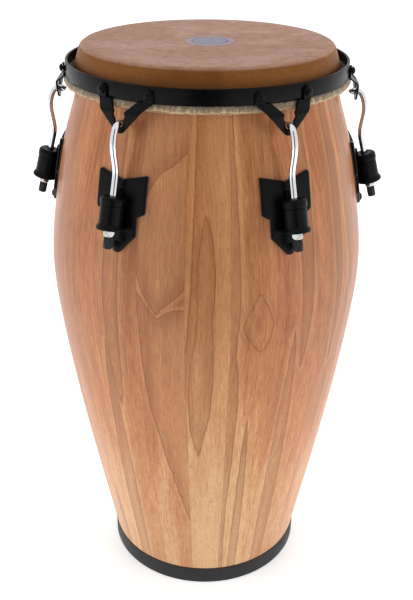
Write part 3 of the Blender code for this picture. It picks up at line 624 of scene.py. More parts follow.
def head_material():
    """Hide: a face made pale by wear and by painted sheen, with short flecks, a collar that keeps its golden
    brown, and a plain round print in the middle of the face."""
    material, shader, place = blank_material("worn_hide_with_painted_sheen")
    flecks = noise(mapped(place, (95, 330, 330)), 1.0, 3, 0.6, 0.3)
    cloud = span(noise(place, 11, 4, 0.6, 0.6), 0.35, 0.7)
    grain = noise(place, 480, 2, 0.6)
    # The face is painted pale and pinkish over the collar's golden brown: part wear, part painted sheen.
    face_wear_and_sheen = span(parts(place)[2], head_top - 0.0040, head_top - 0.0012)
    collar = blended(cloud, rgb(118, 71, 31), rgb(137, 86, 40))
    face = blended(cloud, rgb(170, 124, 100), rgb(192, 151, 131))
    radius = length(mapped(place, (1, 1, 0), (-BADGE_PLACE[0], -BADGE_PLACE[1], 0)))
    scuffed = calc("ADD", radius, about(flecks, 0.0012))
    from_line = calc("ABSOLUTE", calc("SUBTRACT", scuffed, BADGE_LINE))
    feed(shader, {
        "Base Color": layered(
            blended(face_wear_and_sheen, collar, face),
            (span(flecks, 0.53, 0.68, 0.0, 0.40), 104, 62, 40),
            (calc("MULTIPLY", span(flecks, 0.42, 0.28, 0.0, 0.22), face_wear_and_sheen), 206, 172, 150),
            (span(grain, 0.5, 0.72, 0.0, 0.30), 96, 60, 40),
            (span(scuffed, BADGE_RADIUS - 0.0004, BADGE_RADIUS + 0.0004, 0.85, 0.0), 158, 156, 176),
            (span(scuffed, BADGE_LINE - 0.0004, BADGE_LINE + 0.0004, 0.35, 0.0), 124, 122, 146),
            (span(from_line, 0.0006, 0.0014, 0.75, 0.0), 82, 84, 116),
        ),
        "Roughness": span(flecks, 0.3, 0.7, 0.40, 0.55),
        "Specular IOR Level": 0.12,
        "Normal": bump(calc("ADD", flecks, calc("MULTIPLY", grain, 0.5)), 0.00016),
    })
    return material


def swell(points):
    """Three long waves across the face, added up."""
    x, y = points[..., 0], points[..., 1]
    return np.sin(31 * x + 2) * np.cos(23 * y) + np.sin(57 * y + 13 * x) / 2 + np.sin(83 * x - 41 * y) * 0.3


head_points = revolved(head_profile(), full_turn(HEAD_COLUMNS))
on_face = head_points[..., 2] > head_top - 0.004
head_points[..., 2] += np.where(on_face, swell(head_points) * FACE_SWELL, 0)
hide = head_material(), "hide"
head = piece("hide_head", head_points, grid_faces(head_points), hide, None, ["drum_head"], 60)
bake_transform(head)


# The tucked hide. The edge of the same skin, wrapped under and over the flesh hoop and dried hard, with
# its rough trimmed end standing up inside the rim.
TUCK_COLUMNS = 512
TUCK_HEIGHT = 0.0065
FLAP_MIDDLE = 0.0012
TUCK_FUZZ = 0.00016
TUCK_RAGGEDNESS = 0.0009


def ruffle(azimuth, along, size, fewest, most, terms=22):
    """Uneven waves round the drum and along a strip: a sum of sines with random whole counts a turn, random
    phases, and amplitudes that fall with the root of the count of terms."""
    counts = chance.integers(fewest, most, terms)
    lengths = chance.uniform(-600, 600, terms)
    phases = chance.uniform(0, 2 * np.pi, terms)
    angle = counts * azimuth[..., None] + lengths * along[..., None] + phases
    return size * np.sin(angle).sum(-1) * (2 / terms) ** 0.5


def unit(vectors):
    """Vectors scaled to a length of one."""
    return vectors / np.linalg.norm(vectors, axis=-1, keepdims=True)


def travelled(path):
    """Distance along a path to each of its points."""
    return np.concatenate([[0], np.cumsum(np.linalg.norm(np.diff(path, axis=0), axis=-1))])


def offset_path(path, distance):
    """A path moved to its right by a distance."""
    way = unit(np.gradient(path, axis=0))
    return path + distance * np.stack([way[:, 1], -way[:, 0]], -1)


def tuck_path():
    """Middle of the wrapped skin: from the collar's line down, round the hoop, and up inside the rim."""
    lean = collar_lean()
    middle = HOOP_WIRE_RADIUS + SKIN_PLAY + SKIN / 2
    round_hoop = arc(hoop_centre, middle, 180 + lean, 450, 40)
    flap = rim_radius - RIM_THICKNESS - FLAP_MIDDLE
    turn = hoop_centre[0] - flap
    stand = arc((hoop_centre[0], hoop_centre[1] + middle + turn), turn, 270, 180, 8)
    rise = np.linspace(stand[-1][1], rim_bottom + TUCK_HEIGHT, 12)[1:]
    stub = round_hoop[0] + np.array([-np.sin(np.radians(lean)), np.cos(np.radians(lean))]) * 0.0008
    return np.concatenate([[stub], round_hoop, stand[1:], np.stack([np.full(len(rise), flap), rise], -1)])


def tuck_material():
    """Raw hide: grey and fuzzy where it was trimmed, golden where it turns under the hoop, and painted shade
    on the flap inside the rim.
    """
    material, shader, place = blank_material("raw_hide")
    height = parts(place)[2]
    fuzz = noise(place, 620, 4, 0.65)
    strayed = calc("ADD", height, about(noise(place, 70, 3, 0.6, 0.5), 0.008))
    under = span(strayed, hoop_centre[1] - 0.0045, hoop_centre[1] + 0.0015, 1.0, 0.0)
    pleats = streaks(place, 380, 45, 2, 0.6)
    # A light line is laid along the middle of the turn under the hoop.
    from_turn_middle = calc("ABSOLUTE", calc("SUBTRACT", under, 0.5))
    feed(shader, {
        "Base Color": layered(
            blended(under, rgb(132, 112, 86), rgb(132, 84, 38)),
            (span(pleats, 0.50, 0.68, 0.0, 0.7), 200, 178, 136),
            (span(pleats, 0.46, 0.32, 0.0, 0.6), 78, 54, 32),
            (span(from_turn_middle, 0.0, 0.3, 0.55, 0.0), 214, 184, 122),
            (span(fuzz, 0.5, 0.75, 0.0, 0.40), 160, 138, 106),
            (span(fuzz, 0.48, 0.28, 0.0, 0.45), 70, 50, 34),
            # Painted shade: darker from just below the rim's lower edge up the flap that stands inside the
            # rim.
            (span(height, rim_bottom - 0.0012, rim_bottom + 0.0005, 0.0, 0.75), 74, 46, 26),
        ),
        "Roughness": 0.9,
        "Sheen Weight": 0.35,
        "Sheen Roughness": 0.6,
        "Normal": bump(calc("ADD", fuzz, pleats), 0.0006),
    })
    return material


# The whole strip is a little uneven up to the flap, less so inside, and the flap's edge is ragged
path = tuck_path()
azimuths = full_turn(TUCK_COLUMNS)
along = travelled(path)
profile = np.concatenate([offset_path(path, SKIN / 2), offset_path(path, -SKIN / 2)[::-1]])
both_ways = np.concatenate([along, along[::-1]])
tuck = revolved(profile, azimuths)
fuzzy = ruffle(azimuths[None], both_ways[:, None], TUCK_FUZZ, 60, 240)
rising = np.clip((both_ways - 0.012) / 0.014, 0, 1)[:, None]
across = np.where(np.arange(len(profile)) < len(path), 1.0, -0.4)
push = fuzzy * (across * (both_ways < 0.026))[:, None]
tuck += push[..., None] * revolved(unit(profile - np.array(hoop_centre)), azimuths)
tuck[..., 2] += rising * ruffle(azimuths, 0 * azimuths, TUCK_RAGGEDNESS, 5, 160)
raw_hide = tuck_material(), "hide"
piece("hide_tuck", tuck, grid_faces(tuck, ring=True), raw_hide, "tension_rim", ["head_tuck"], 70)


# The flesh hoop. A ring of steel rod inside the wrapped hide, butt-welded and zinc-plated.
def steel_material():
    """Zinc-plated steel: grey with faint spangles."""
    material, shader, place = blank_material("zinc_plate")
    spangle = put(place, "ShaderNodeTexVoronoi", {"Vector": place, "Scale": 260}).outputs["Color"]
    feed(shader, {
        "Base Color": blended(parts(spangle)[0], rgb(150, 152, 154), rgb(182, 184, 186)),
        "Metallic": 1.0,
        "Roughness": span(noise(place, 300), 0.3, 0.7, 0.28, 0.45),
    })
    return material


steel = steel_material(), "zinc_steel"
hoop_profile = arc(hoop_centre, HOOP_WIRE_RADIUS, 0, 350, 36)
turned("steel_flesh_hoop", hoop_profile, 240, steel, "tension_rim", ["flesh_hoop"])


# The rim. Flat steel bar rolled on edge and welded into a ring, powder-coated black.
RIM_EDGE = 0.0008


def coat_material(name, dark, light, roughness):
    """Powder coat over steel: nearly black, with a fine orange-peel skin and dusty patches."""
    material, shader, place = blank_material(name)
    dust = noise(place, 60, 4, 0.65, 0.3)
    feed(shader, {
        "Base Color": blended(span(dust, 0.45, 0.8), dark, light),
        "Roughness": span(dust, 0.3, 0.8, roughness, roughness + 0.12),
        "Specular IOR Level": 0.10,
        "Normal": bump(noise(place, 1400), 0.00003),
    })
    return material


powder_coat = coat_material("black_powder_coat", rgb(6, 6, 7), rgb(13, 13, 15), 0.26), "black_powder_coat"
band_inner = rim_radius - RIM_THICKNESS
rim_profile = np.concatenate([
    arc((rim_radius - RIM_EDGE, rim_bottom + RIM_EDGE), RIM_EDGE, 270, 360, 5),
    arc((rim_radius - RIM_EDGE, rim_top - RIM_EDGE), RIM_EDGE, 0, 90, 5),
    arc((band_inner + RIM_EDGE, rim_top - RIM_EDGE), RIM_EDGE, 90, 180, 5),
    arc((band_inner + RIM_EDGE, rim_bottom + RIM_EDGE), RIM_EDGE, 180, 270, 5),
])
turned("powder_coated_rim", rim_profile, 288, powder_coat, "tension_rim", ["rim"])


# The rim brackets. Six pressed steel plates, each a V with two ears riveted to the rim. The plate steps
# outwards below the rim, and the hook drops into the notch between its arms.
LUGS = 6
BRACKET_THICKNESS = 0.0025
EAR_OFFSET = 0.0292
EAR_WIDTH = 0.0110
EAR_TOP_DROP = 0.0031
SHOULDER_RISE = 0.0010
SHOULDER_HALF = 0.0170
JOGGLE = 0.0097
JOGGLE_RISE = 0.0018
JOGGLE_DROP = 0.0112
NECK_HALF = 0.0064
NECK_DROP = 0.0094
POCKET_HALF = 0.0075
POCKET_DROP = 0.0137
NOTCH_HALF = 0.0052
NOTCH_DROP = 0.0259
NOTCH_DEPTH = 0.0081
TIP_DROP = 0.0327
TIP_RADIUS = 0.0080
BRACKET_BEVEL = 0.0008
EDGE_STEPS = np.array([0.0, 0.06, 0.22, 0.5, 1.0])

bracket_back = rim_radius + GAP
bracket_face = bracket_back + JOGGLE + BRACKET_THICKNESS
notch_height = rim_bottom - NOTCH_DROP


def swung(points, turn):
    """Points turned about the drum's axis, by an angle in radians."""
    x, y, z = np.moveaxis(points, -1, 0)
    return np.stack([x * np.cos(turn) - y * np.sin(turn), x * np.sin(turn) + y * np.cos(turn), z], -1)


def round_lugs(name, points, finish, body, replaced=(), sharp=35, ring=False, faces=None):
    """Six copies of a piece made in the second lug's own frame, with X outwards: copy n is turned about
    the drum by 60 (n - 2) degrees. A {} in a body or node name becomes n."""
    faces = grid_faces(points, ring) if faces is None else faces
    for n in range(1, LUGS + 1):
        placed = swung(points, np.radians(60 * (n - 2)))
        nodes = [node.format(n) for node in replaced]
        piece(f"{name}_{n}", placed, faces, finish, body.format(n), nodes, sharp)


def evened(line, count):
    """A line of points resampled to a count of points, evenly by length."""
    line = np.array(line)
    far = travelled(line)
    at = np.linspace(0, far[-1], count)
    return np.stack([np.interp(at, far, line[:, 0]), np.interp(at, far, line[:, 1])], -1)


def plate_grid(outer, inner, thickness, bevel, across_steps):
    """A flat plate between two half outlines of (across, up) that start on the middle line, mirrored. Each
    row crosses the front from one outline to the other and comes back behind. At distance d from the edge
    the front is lower than the thickness by bevel (1 - sqrt(1 - (1 - d / bevel)^2))."""
    outer, inner = (np.concatenate([half[:0:-1] * (-1, 1), half]) for half in (outer, inner))
    reach = np.linalg.norm(inner - outer, axis=-1)[:, None]
    near = np.minimum(bevel, 0.45 * reach) * EDGE_STEPS
    middle = near[:, -1:] + (reach - 2 * near[:, -1:]) * np.linspace(0, 1, across_steps)[1:-1]
    share = np.concatenate([near, middle, reach - near[:, ::-1]], -1) / np.maximum(reach, 1e-9)
    flat = outer[:, None] + share[..., None] * (inner - outer)[:, None]
    inside = np.minimum(edge_distance(flat, np.concatenate([outer, inner[::-1]])) / bevel, 1)
    lift = thickness - bevel + bevel * np.sqrt(1 - (1 - inside) ** 2)
    front = np.concatenate([flat, lift[..., None]], -1)
    back = np.concatenate([flat[:, ::-1], np.zeros((*flat.shape[:2], 1))], -1)
    return np.concatenate([front, back], 1)


def bracket_halves():
    """The bracket's outer and inner half outlines, from tip and notch up to the ear's top."""
    ear_round = EAR_WIDTH / 2
    ear_centre = (EAR_OFFSET, rim_top - EAR_TOP_DROP - ear_round)
    shoulder = rim_bottom + SHOULDER_RISE
    tip = (0.0, rim_bottom - TIP_DROP + TIP_RADIUS)
    corner = (EAR_OFFSET + ear_round, shoulder)
    reach = np.hypot(corner[0], corner[1] - tip[1])
    turn = np.degrees(np.arctan2(corner[1] - tip[1], corner[0]) - np.arccos(TIP_RADIUS / reach))
    outer = [*arc(tip, TIP_RADIUS, -90, turn, 12), corner]
    inner = [
        *arc((0.0, notch_height + NOTCH_HALF), NOTCH_HALF, -90, 0, 12),
        (NOTCH_HALF, notch_height + NOTCH_DEPTH),
        (POCKET_HALF, rim_bottom - POCKET_DROP),
        (NECK_HALF, rim_bottom - NECK_DROP),
        (SHOULDER_HALF, shoulder),
        (EAR_OFFSET - ear_round, shoulder),
    ]
    ear_outer = [corner, *arc(ear_centre, ear_round, 0, 90, 14)]
    ear_inner = [inner[-1], *arc(ear_centre, ear_round, 180, 90, 14)]
    return (np.concatenate([evened(outer, 90), evened(ear_outer, 40)[1:]]),
            np.concatenate([evened(inner, 90), evened(ear_inner, 40)[1:]]))


def round_rim(points):
    """A flat bracket rolled round the rim, and stepped outwards between two heights."""
    across, height, depth = np.moveaxis(points, -1, 0)
    top, bottom = rim_bottom + JOGGLE_RISE, rim_bottom - JOGGLE_DROP
    share = np.clip((top - height) / (top - bottom), 0, 1)
    seat = bracket_back + JOGGLE * share * share * (3 - 2 * share)
    radius, angle = seat + depth, across / seat
    return np.stack([radius * np.cos(angle), radius * np.sin(angle), height], -1)


bracket = round_rim(plate_grid(*bracket_halves(), BRACKET_THICKNESS, BRACKET_BEVEL, 12))
round_lugs("pressed_bracket", bracket, powder_coat, "tension_rim", ["rim_bracket_{}"], 50)


# The rivets. Two domed steel rivets hold each bracket's ears to the rim, coated with it.
RIVET_HEAD_RADIUS = 0.0048
RIVET_HEAD_HEIGHT = 0.0038
RIVET_SHANK_RADIUS = 0.0025
RIVET_DROP = 0.0094


def lathe(profile, columns, origin, way, radius=None):
    """A profile of (radius, distance along an axis) carried round an axis that lies in the lug's plane. The
    point is origin + distance * way + radius (cos a * side + sin a * Y). Radii given for each row and
    column take the place of the profile's."""
    angle = full_turn(columns)[:, None]
    way = np.array([way[0], 0, way[1]])
    around = np.cos(angle) * (way[2], 0, -way[0]) + np.sin(angle) * (0, 1, 0)
    radius = profile[:, :1] if radius is None else radius
    return (origin[0], 0, origin[1]) + profile[:, 1:, None] * way + radius[..., None] * around


def dome(radius, height, count):
    """Outline of a domed head, from its crown to its edge."""
    return arc((0, 0), 1, 90, 0, count) * (radius, height) + (0, GAP)


rivet_end = -BRACKET_THICKNESS - RIM_THICKNESS
rivet_profile = np.concatenate([
    dome(RIVET_HEAD_RADIUS, RIVET_HEAD_HEIGHT, 12),
    [(RIVET_SHANK_RADIUS, GAP), (RIVET_SHANK_RADIUS, rivet_end), (0, rivet_end)],
])
rivet = lathe(rivet_profile, 40, (bracket_back + BRACKET_THICKNESS, rim_top - RIVET_DROP), (1, 0))
for side, name in ((-1, "rivet_left"), (1, "rivet_right")):
    placed = swung(rivet, side * EAR_OFFSET / bracket_back)
    round_lugs("domed_" + name, placed, powder_coat, "tension_rim", [name + "_{}"])


# The side plates. Six cast plates on the shell, winged above and tapered to a tail, that take the pull of
# the hooks. Each is bent to the barrel and sits on a thin rubber sheet cut a little larger.
LUG_DROP = 0.1328
PLATE_THICKNESS = 0.0042
PLATE_BEVEL = 0.0013
SHEET_THICKNESS = 0.0012
SHEET_EDGE = 0.0004
PLATE_NOTCH_TOP = 0.0488
PLATE_WING_TOP = 0.0560
PLATE_WING_BOTTOM = 0.0152
PLATE_WING_HALF = 0.0303
PLATE_STEP = 0.0105
PLATE_FLANK_HALF = 0.0211
PLATE_FLANK_BOTTOM = -0.0103
PLATE_TAIL = -0.0306
PLATE_TAIL_RADIUS = 0.0055
PLATE_CORNER = 0.0025
SHEET_PROUD = 0.0009
SHEET_STRETCH = 1.018

lug_height = rim_bottom - LUG_DROP


def shell_point(height, depth):
    """Radius and height of the point at a depth out from the shell's side, along its normal (1, -slope)."""
    step = 0.0001
    slope = (shell_radius(height + step) - shell_radius(height - step)) / (2 * step)
    length = np.hypot(1, slope)
    return shell_radius(height) + depth / length, height - depth * slope / length


def rounded(corner, before, after, size, count=6):
    """A corner rounded off by a curve that starts at a size along each side: the mean, weighted by
    (1 - t)^2, 2 t (1 - t) and t^2, of its two ends and the corner."""
    corner = np.array(corner)
    first, second = corner + unit(before - corner) * size, corner + unit(after - corner) * size
    t = np.linspace(0, 1, count)[:, None]
    return (1 - t) ** 2 * first + 2 * t * (1 - t) * corner + t ** 2 * second


def plate_halves():
    """The side plate's lower and upper half outlines, out from the middle to the wing's top corner."""
    tail = (0.0, PLATE_TAIL + PLATE_TAIL_RADIUS)
    flank = (PLATE_FLANK_HALF, PLATE_FLANK_BOTTOM)
    step = (PLATE_FLANK_HALF, PLATE_STEP)
    wing_low = (PLATE_WING_HALF, PLATE_WING_BOTTOM)
    wing_top = (PLATE_WING_HALF, PLATE_WING_TOP)
    notch = (0.0, PLATE_NOTCH_TOP)
    reach = np.hypot(flank[0], flank[1] - tail[1])
    turn = np.degrees(np.arctan2(flank[1] - tail[1], flank[0]) - np.arccos(PLATE_TAIL_RADIUS / reach))
    top_corner = rounded(wing_top, wing_low, notch, PLATE_CORNER, 9)
    lower = [
        *arc(tail, PLATE_TAIL_RADIUS, -90, turn, 12),
        *rounded(flank, tail, step, 0.0012, 5),
        step,
        *rounded(wing_low, step, wing_top, PLATE_CORNER),
        *top_corner[:5],
    ]
    upper = [notch, *top_corner[:3:-1]]
    return evened(lower, 110), evened(upper, 110)


def round_shell(points):
    """A flat plate bent round the barrel: its height is above the casing's foot, and its depth is out
    from the shell."""
    across, height, depth = np.moveaxis(points, -1, 0)
    radius, level = shell_point(lug_height + height, depth)
    angle = across / shell_radius(lug_height + height)
    return np.stack([radius * np.cos(angle), radius * np.sin(angle), level], -1)


lower, upper = plate_halves()
plate = plate_grid(lower, upper, PLATE_THICKNESS - SHEET_THICKNESS, PLATE_BEVEL, 40)
plate = round_shell(plate + (0, 0, GAP + SHEET_THICKNESS))
round_lugs("cast_plate", plate, powder_coat, "drum", ["side_plate_{}"], 50)
sheet = plate_grid(lower, upper, SHEET_THICKNESS, SHEET_EDGE, 40)
sheet[..., 0] *= 1 + SHEET_PROUD / PLATE_WING_HALF
sheet[..., 1] = PLATE_STEP + (sheet[..., 1] - PLATE_STEP) * SHEET_STRETCH
round_lugs("rubber_sheet", round_shell(sheet + (0, 0, GAP)), rubber, "drum", (), 50)


# The mounting bolts. A domed steel bolt holds each plate's tail, with a washer and a nut inside the shell.
BOLT_DROP = 0.0228
BOLT_RADIUS = 0.0030
BOLT_HEAD_RADIUS = 0.0050
BOLT_HEAD_HEIGHT = 0.0030
WASHER_RADIUS = 0.0080
WASHER_THICKNESS = 0.0015
BOLT_NUT_RADIUS = 0.0060
BOLT_NUT_HEIGHT = 0.0050

plate_stack = GAP + PLATE_THICKNESS
bolt_seat = np.array(shell_point(lug_height - BOLT_DROP, plate_stack))
bolt_way = unit(bolt_seat - shell_point(lug_height - BOLT_DROP, 0))
washer_face = -(plate_stack + WALL + 2 * GAP)
washer_back = washer_face - WASHER_THICKNESS
nut_back = washer_back - BOLT_NUT_HEIGHT
bolt_profile = np.concatenate([
    dome(BOLT_HEAD_RADIUS, BOLT_HEAD_HEIGHT, 12),
    [(BOLT_RADIUS, GAP), (BOLT_RADIUS, washer_face), (WASHER_RADIUS, washer_face),
     (WASHER_RADIUS, washer_back), (BOLT_NUT_RADIUS, washer_back),
     (BOLT_NUT_RADIUS, nut_back), (0, nut_back)],
])
bolt = lathe(bolt_profile, 48, bolt_seat, bolt_way)
round_lugs("domed_bolt", bolt, powder_coat, "drum", ["mounting_bolt_{}"])


# The casings. A round die-cast barrel on each plate, with a collar above a groove and a flared foot,
# that guides the hook's shank and takes the nut's push.
ROD_RADIUS = 0.0035
ROD_PLAY = 0.0007
ROD_STANDOFF = 0.0140
HOOK_STANDOFF = 0.0083
WAIST_DROP = 0.0490
CASING_LENGTH = 0.0363
CASING_RADIUS = 0.0129
CASING_COLLAR_RADIUS = 0.0137
CASING_COLLAR_HEIGHT = 0.0100
CASING_GROOVE = 0.0012
CASING_LIP_RADIUS = 0.0152
CASING_LIP = 0.0022
CASING_FLARE = 0.0065
CASING_ROUND = 0.0040
TONGUE_HALF = 0.0034
TONGUE_TOP = 0.0443
TONGUE_STANDOFF = 0.0072
TONGUE_DEPTH = 0.0090
TONGUE_BEVEL = 0.0011

bracket_middle = bracket_face - BRACKET_THICKNESS / 2
rod_foot = np.array([shell_point(lug_height, plate_stack)[0] + ROD_STANDOFF, lug_height])
rod_waist = np.array([bracket_middle + HOOK_STANDOFF, notch_height + ROD_RADIUS - WAIST_DROP + GAP])
rod_up = unit(rod_waist - rod_foot)


def seated(points):
    """Points behind the plane that touches the plate are moved out to it."""
    low = lug_height + CASING_LIP_RADIUS * rod_up[0]
    face = np.stack(shell_point(np.linspace(low, lug_height + CASING_LENGTH, 40), plate_stack), -1)
    chord = unit(face[-1] - face[0])
    normal = np.array([chord[1], -chord[0]])
    plane = (face @ normal).max() + GAP
    short = np.minimum(points[..., 0] * normal[0] + points[..., 2] * normal[1] - plane, 0)
    return points - short[..., None] * (normal[0], 0, normal[1])


def casing():
    """The casing turned on the rod's axis."""
    bore = ROD_RADIUS + ROD_PLAY
    groove = CASING_LENGTH - CASING_COLLAR_HEIGHT
    body = CASING_RADIUS
    outline = np.concatenate([
        [(bore, CASING_LENGTH - 0.001)],
        arc((bore + 0.001, CASING_LENGTH - 0.001), 0.001, 180, 90, 5)[1:],
        arc((CASING_COLLAR_RADIUS - CASING_ROUND, CASING_LENGTH - CASING_ROUND), CASING_ROUND, 90, 0, 12),
        arc((CASING_COLLAR_RADIUS - 0.0005, groove + CASING_GROOVE + 0.0005), 0.0005, 0, -90, 4),
        arc((body, groove + CASING_GROOVE / 2), CASING_GROOVE / 2, 90, 270, 8),
        [(body, groove - CASING_GROOVE)],
        evened([(body, groove - 0.004), (body, CASING_FLARE + 0.001)], 6),
        arc((body + 0.0023, CASING_FLARE + 0.0002), 0.0023, 180, 230, 6),
        arc((CASING_LIP_RADIUS - 0.0007, CASING_LIP - 0.0002), 0.0007, 45, 0, 4),
        arc((CASING_LIP_RADIUS - 0.0007, 0.0007), 0.0007, 0, -90, 5),
        [(bore, 0)],
    ])
    return seated(lathe(outline, 128, rod_foot, rod_up))


def tongue():
    """A rounded upright behind the rod, from inside the collar to above it."""
    low = CASING_LENGTH - CASING_COLLAR_HEIGHT / 2
    crown = (0, TONGUE_TOP - TONGUE_HALF)
    lower = evened([(0, low), (TONGUE_HALF, low), (TONGUE_HALF, crown[1])], 24)
    upper = evened(arc(crown, TONGUE_HALF, 90, 0, 24), 24)
    across, up, depth = np.moveaxis(plate_grid(lower, upper, TONGUE_DEPTH, TONGUE_BEVEL, 12), -1, 0)
    out = depth - TONGUE_DEPTH - TONGUE_STANDOFF
    radius = rod_foot[0] + up * rod_up[0] + out * rod_up[1]
    height = rod_foot[1] + up * rod_up[1] - out * rod_up[0]
    return seated(np.stack([radius, across, height], -1))


satin_coat = coat_material("satin_black_casting", rgb(6, 6, 8), rgb(12, 12, 14), 0.30), "black_powder_coat"
barrel, upright = casing(), tongue()
faces = np.concatenate([grid_faces(barrel, ring=True), grid_faces(upright) + barrel.size // 3])
points = np.concatenate([barrel.reshape(-1, 3), upright.reshape(-1, 3)])
round_lugs("cast_casing", points, satin_coat, "drum", ["lug_casing_{}"], 50, faces=faces)


# The tuning hooks. Six steel rods bent cold over the bracket, threaded at the foot, polished and chromed.
SEAT_BEND = 0.0090
TIP_REACH = 0.0065
SEAT_LEAD = 0.0007
BULGE_REACH = 0.0128
BULGE_DROP = 0.0240
WAIST_STEP = 0.0012
ROD_START_DROP = 0.0650
NUT_HEIGHT = 0.0082
NUT_FLATS = 0.0116
THREAD_DEPTH = 0.0090
ROD_CHAMFER = 0.0006
HOOK_SIDES = 28


def chrome_material(name, dark, light, clearest, dullest):
    """Chromed steel: a mirror with faint polishing waves and finger marks."""
    material, shader, place = blank_material(name)
    marks = noise(place, 45, 4, 0.6, 0.5)
    feed(shader, {
        "Base Color": blended(marks, dark, light),
        "Metallic": 1.0,
        "Roughness": span(marks, 0.4, 0.8, clearest, dullest),
        "Normal": bump(noise(place, 160), 0.00004),
    })
    return material


def run(start, end, start_way, end_way, count):
    """A cubic from start to end that leaves and arrives in the given directions."""
    length = np.linalg.norm(end - start)
    t = np.linspace(0, 1, count)[1:, None]
    return (start * (2 * t ** 3 - 3 * t ** 2 + 1) + start_way * length * (t ** 3 - 2 * t ** 2 + t)
            + end * (3 * t ** 2 - 2 * t ** 3) + end_way * length * (t ** 3 - t ** 2))


def rod_at(height):
    """Point of the rod's axis at a height."""
    return rod_foot + rod_up * (height - rod_foot[1]) / rod_up[1]


def hook_route():
    """The hook's centre line from its cut tip over the bracket, round the bulge and down to the thread."""
    fall = (BRACKET_THICKNESS / 2 + SEAT_LEAD) ** 2 / (2 * (SEAT_BEND - ROD_RADIUS))
    apex = np.array([bracket_middle - SEAT_LEAD, notch_height + GAP + fall + ROD_RADIUS])
    tip = 90 + np.degrees(np.arcsin(TIP_REACH / SEAT_BEND))
    seat = arc(apex - (0, SEAT_BEND), SEAT_BEND, tip, 30, 18)
    bulge = apex + (BULGE_REACH, -BULGE_DROP)
    waist = rod_at(apex[1] - WAIST_DROP) + (WAIST_STEP, 0)
    straight = rod_at(apex[1] - ROD_START_DROP)
    end = rod_foot - rod_up * (2 * GAP + NUT_HEIGHT + THREAD_DEPTH)
    down = np.array([0, -1.0])
    leaving = np.array([0.5, -(3 ** 0.5) / 2])
    return np.concatenate([
        seat,
        run(seat[-1], bulge, leaving, down, 16),
        run(bulge, waist, down, down, 20),
        run(waist, straight, down, -rod_up, 14),
        evened([straight, end], 30)[1:],
    ])


def rod_mesh(route, radius, sides, chamfer):
    """A round rod along a path in the lug's plane, chamfered to a flat face at both ends."""
    way = unit(np.gradient(route, axis=0))
    doubled = np.clip(np.arange(-2, len(route) + 2), 0, len(route) - 1)
    centres, ways = route[doubled], way[doubled]
    centres[2] += way[0] * chamfer
    centres[-3] -= way[-1] * chamfer
    radii = np.full(len(centres), radius)
    radii[[0, -1]] = 0
    radii[[1, -2]] = radius - chamfer
    angle = full_turn(sides)
    side = np.stack([-ways[:, 1], ways[:, 0]], -1)
    flat = centres[:, None] + radii[:, None, None] * np.cos(angle)[:, None] * side[:, None]
    return np.stack([flat[..., 0], radii[:, None] * np.sin(angle), flat[..., 1]], -1)


bright_chrome = chrome_material("bright_chrome", rgb(212, 214, 218), rgb(228, 229, 232), 0.03, 0.09), "chrome"
hook = rod_mesh(hook_route(), ROD_RADIUS, HOOK_SIDES, ROD_CHAMFER)
round_lugs("chromed_hook", hook, bright_chrome, "tuning_hook_{}", ["hook_{}"])


# The lug nuts. Hexagon steel nuts that draw the hooks down against the casings' feet, rounded off below and
# chromed, with the chrome dulled by keys.
NUT_COLUMNS = 96
NUT_LEVELS = (1, 1, 0.94, 0.88, 0.8, 0.7, 0, -0.15, -0.3, -0.45, -0.6, -0.75, -0.9, -1, -1)
NUT_CHAMFER = 0.0003


def nut():
    """A hexagon whose corners are turned off: at angle a and height h its radius is the least of the flat's
    half width over cos a, that half width plus 1.73 times the distance in from the nearest face, and below
    the middle the half width times sqrt(1.25 - 0.75 (h / half)^2)."""
    half = NUT_HEIGHT / 2
    flat = NUT_FLATS / 2
    hexagon = flat / np.cos((full_turn(NUT_COLUMNS) + np.pi / 6) % (np.pi / 3) - np.pi / 6)
    level = half * np.array(NUT_LEVELS)[:, None]
    radius = np.minimum(hexagon, flat - NUT_CHAMFER + 1.73 * (half - np.abs(level)))
    domed = flat * np.sqrt(1.25 - 0.75 * (np.minimum(level, 0) / half) ** 2)
    radius = np.where(level < 0, np.minimum(radius, domed), radius)
    radius[[0, -1]] = ROD_RADIUS + GAP
    return lathe(np.hstack([level, level]), NUT_COLUMNS, rod_foot - rod_up * (GAP + half), rod_up, radius)


dulled_chrome = chrome_material("dulled_chrome", rgb(158, 160, 160), rgb(212, 213, 210), 0.16, 0.34), "chrome"
round_lugs("chromed_nut", nut(), dulled_chrome, "nut_{}", ["lug_nut_{}"], 25, ring=True)


# The end caps. Moulded rubber caps pushed over the thread ends, finely ribbed for the fingers.
CAP_RADIUS = 0.0049
CAP_LENGTH = 0.0125
CAP_ROUND = 0.0015
CAP_RIBS = 24
RIB_DEPTH = 0.00018
RIB_LENGTH = 0.0075

cap_bore = ROD_RADIUS + GAP
cap_profile = np.concatenate([
    [(0, -THREAD_DEPTH - GAP), (cap_bore, -THREAD_DEPTH - GAP), (cap_bore, 0)],
    arc((CAP_RADIUS - 0.0004, -0.0004), 0.0004, 90, 0, 4),
    evened([(CAP_RADIUS, -0.001), (CAP_RADIUS, CAP_ROUND - CAP_LENGTH)], 10),
    arc((CAP_RADIUS - CAP_ROUND, CAP_ROUND - CAP_LENGTH), CAP_ROUND, 0, -90, 7)[1:],
    [(0, -CAP_LENGTH)],
])
rib = RIB_DEPTH * (np.cos(CAP_RIBS * full_turn(CAP_RIBS * 8)) - 1)
ribbed = (cap_profile[:, :1] > CAP_RADIUS - 0.0001) & (cap_profile[:, 1:] > -RIB_LENGTH)
cap_mouth = rod_foot - rod_up * (2 * GAP + NUT_HEIGHT)
cap = lathe(cap_profile, CAP_RIBS * 8, cap_mouth, rod_up, cap_profile[:, :1] + rib * ribbed)
round_lugs("rubber_cap", cap, rubber, "tuning_hook_{}", ["end_cap_{}"])


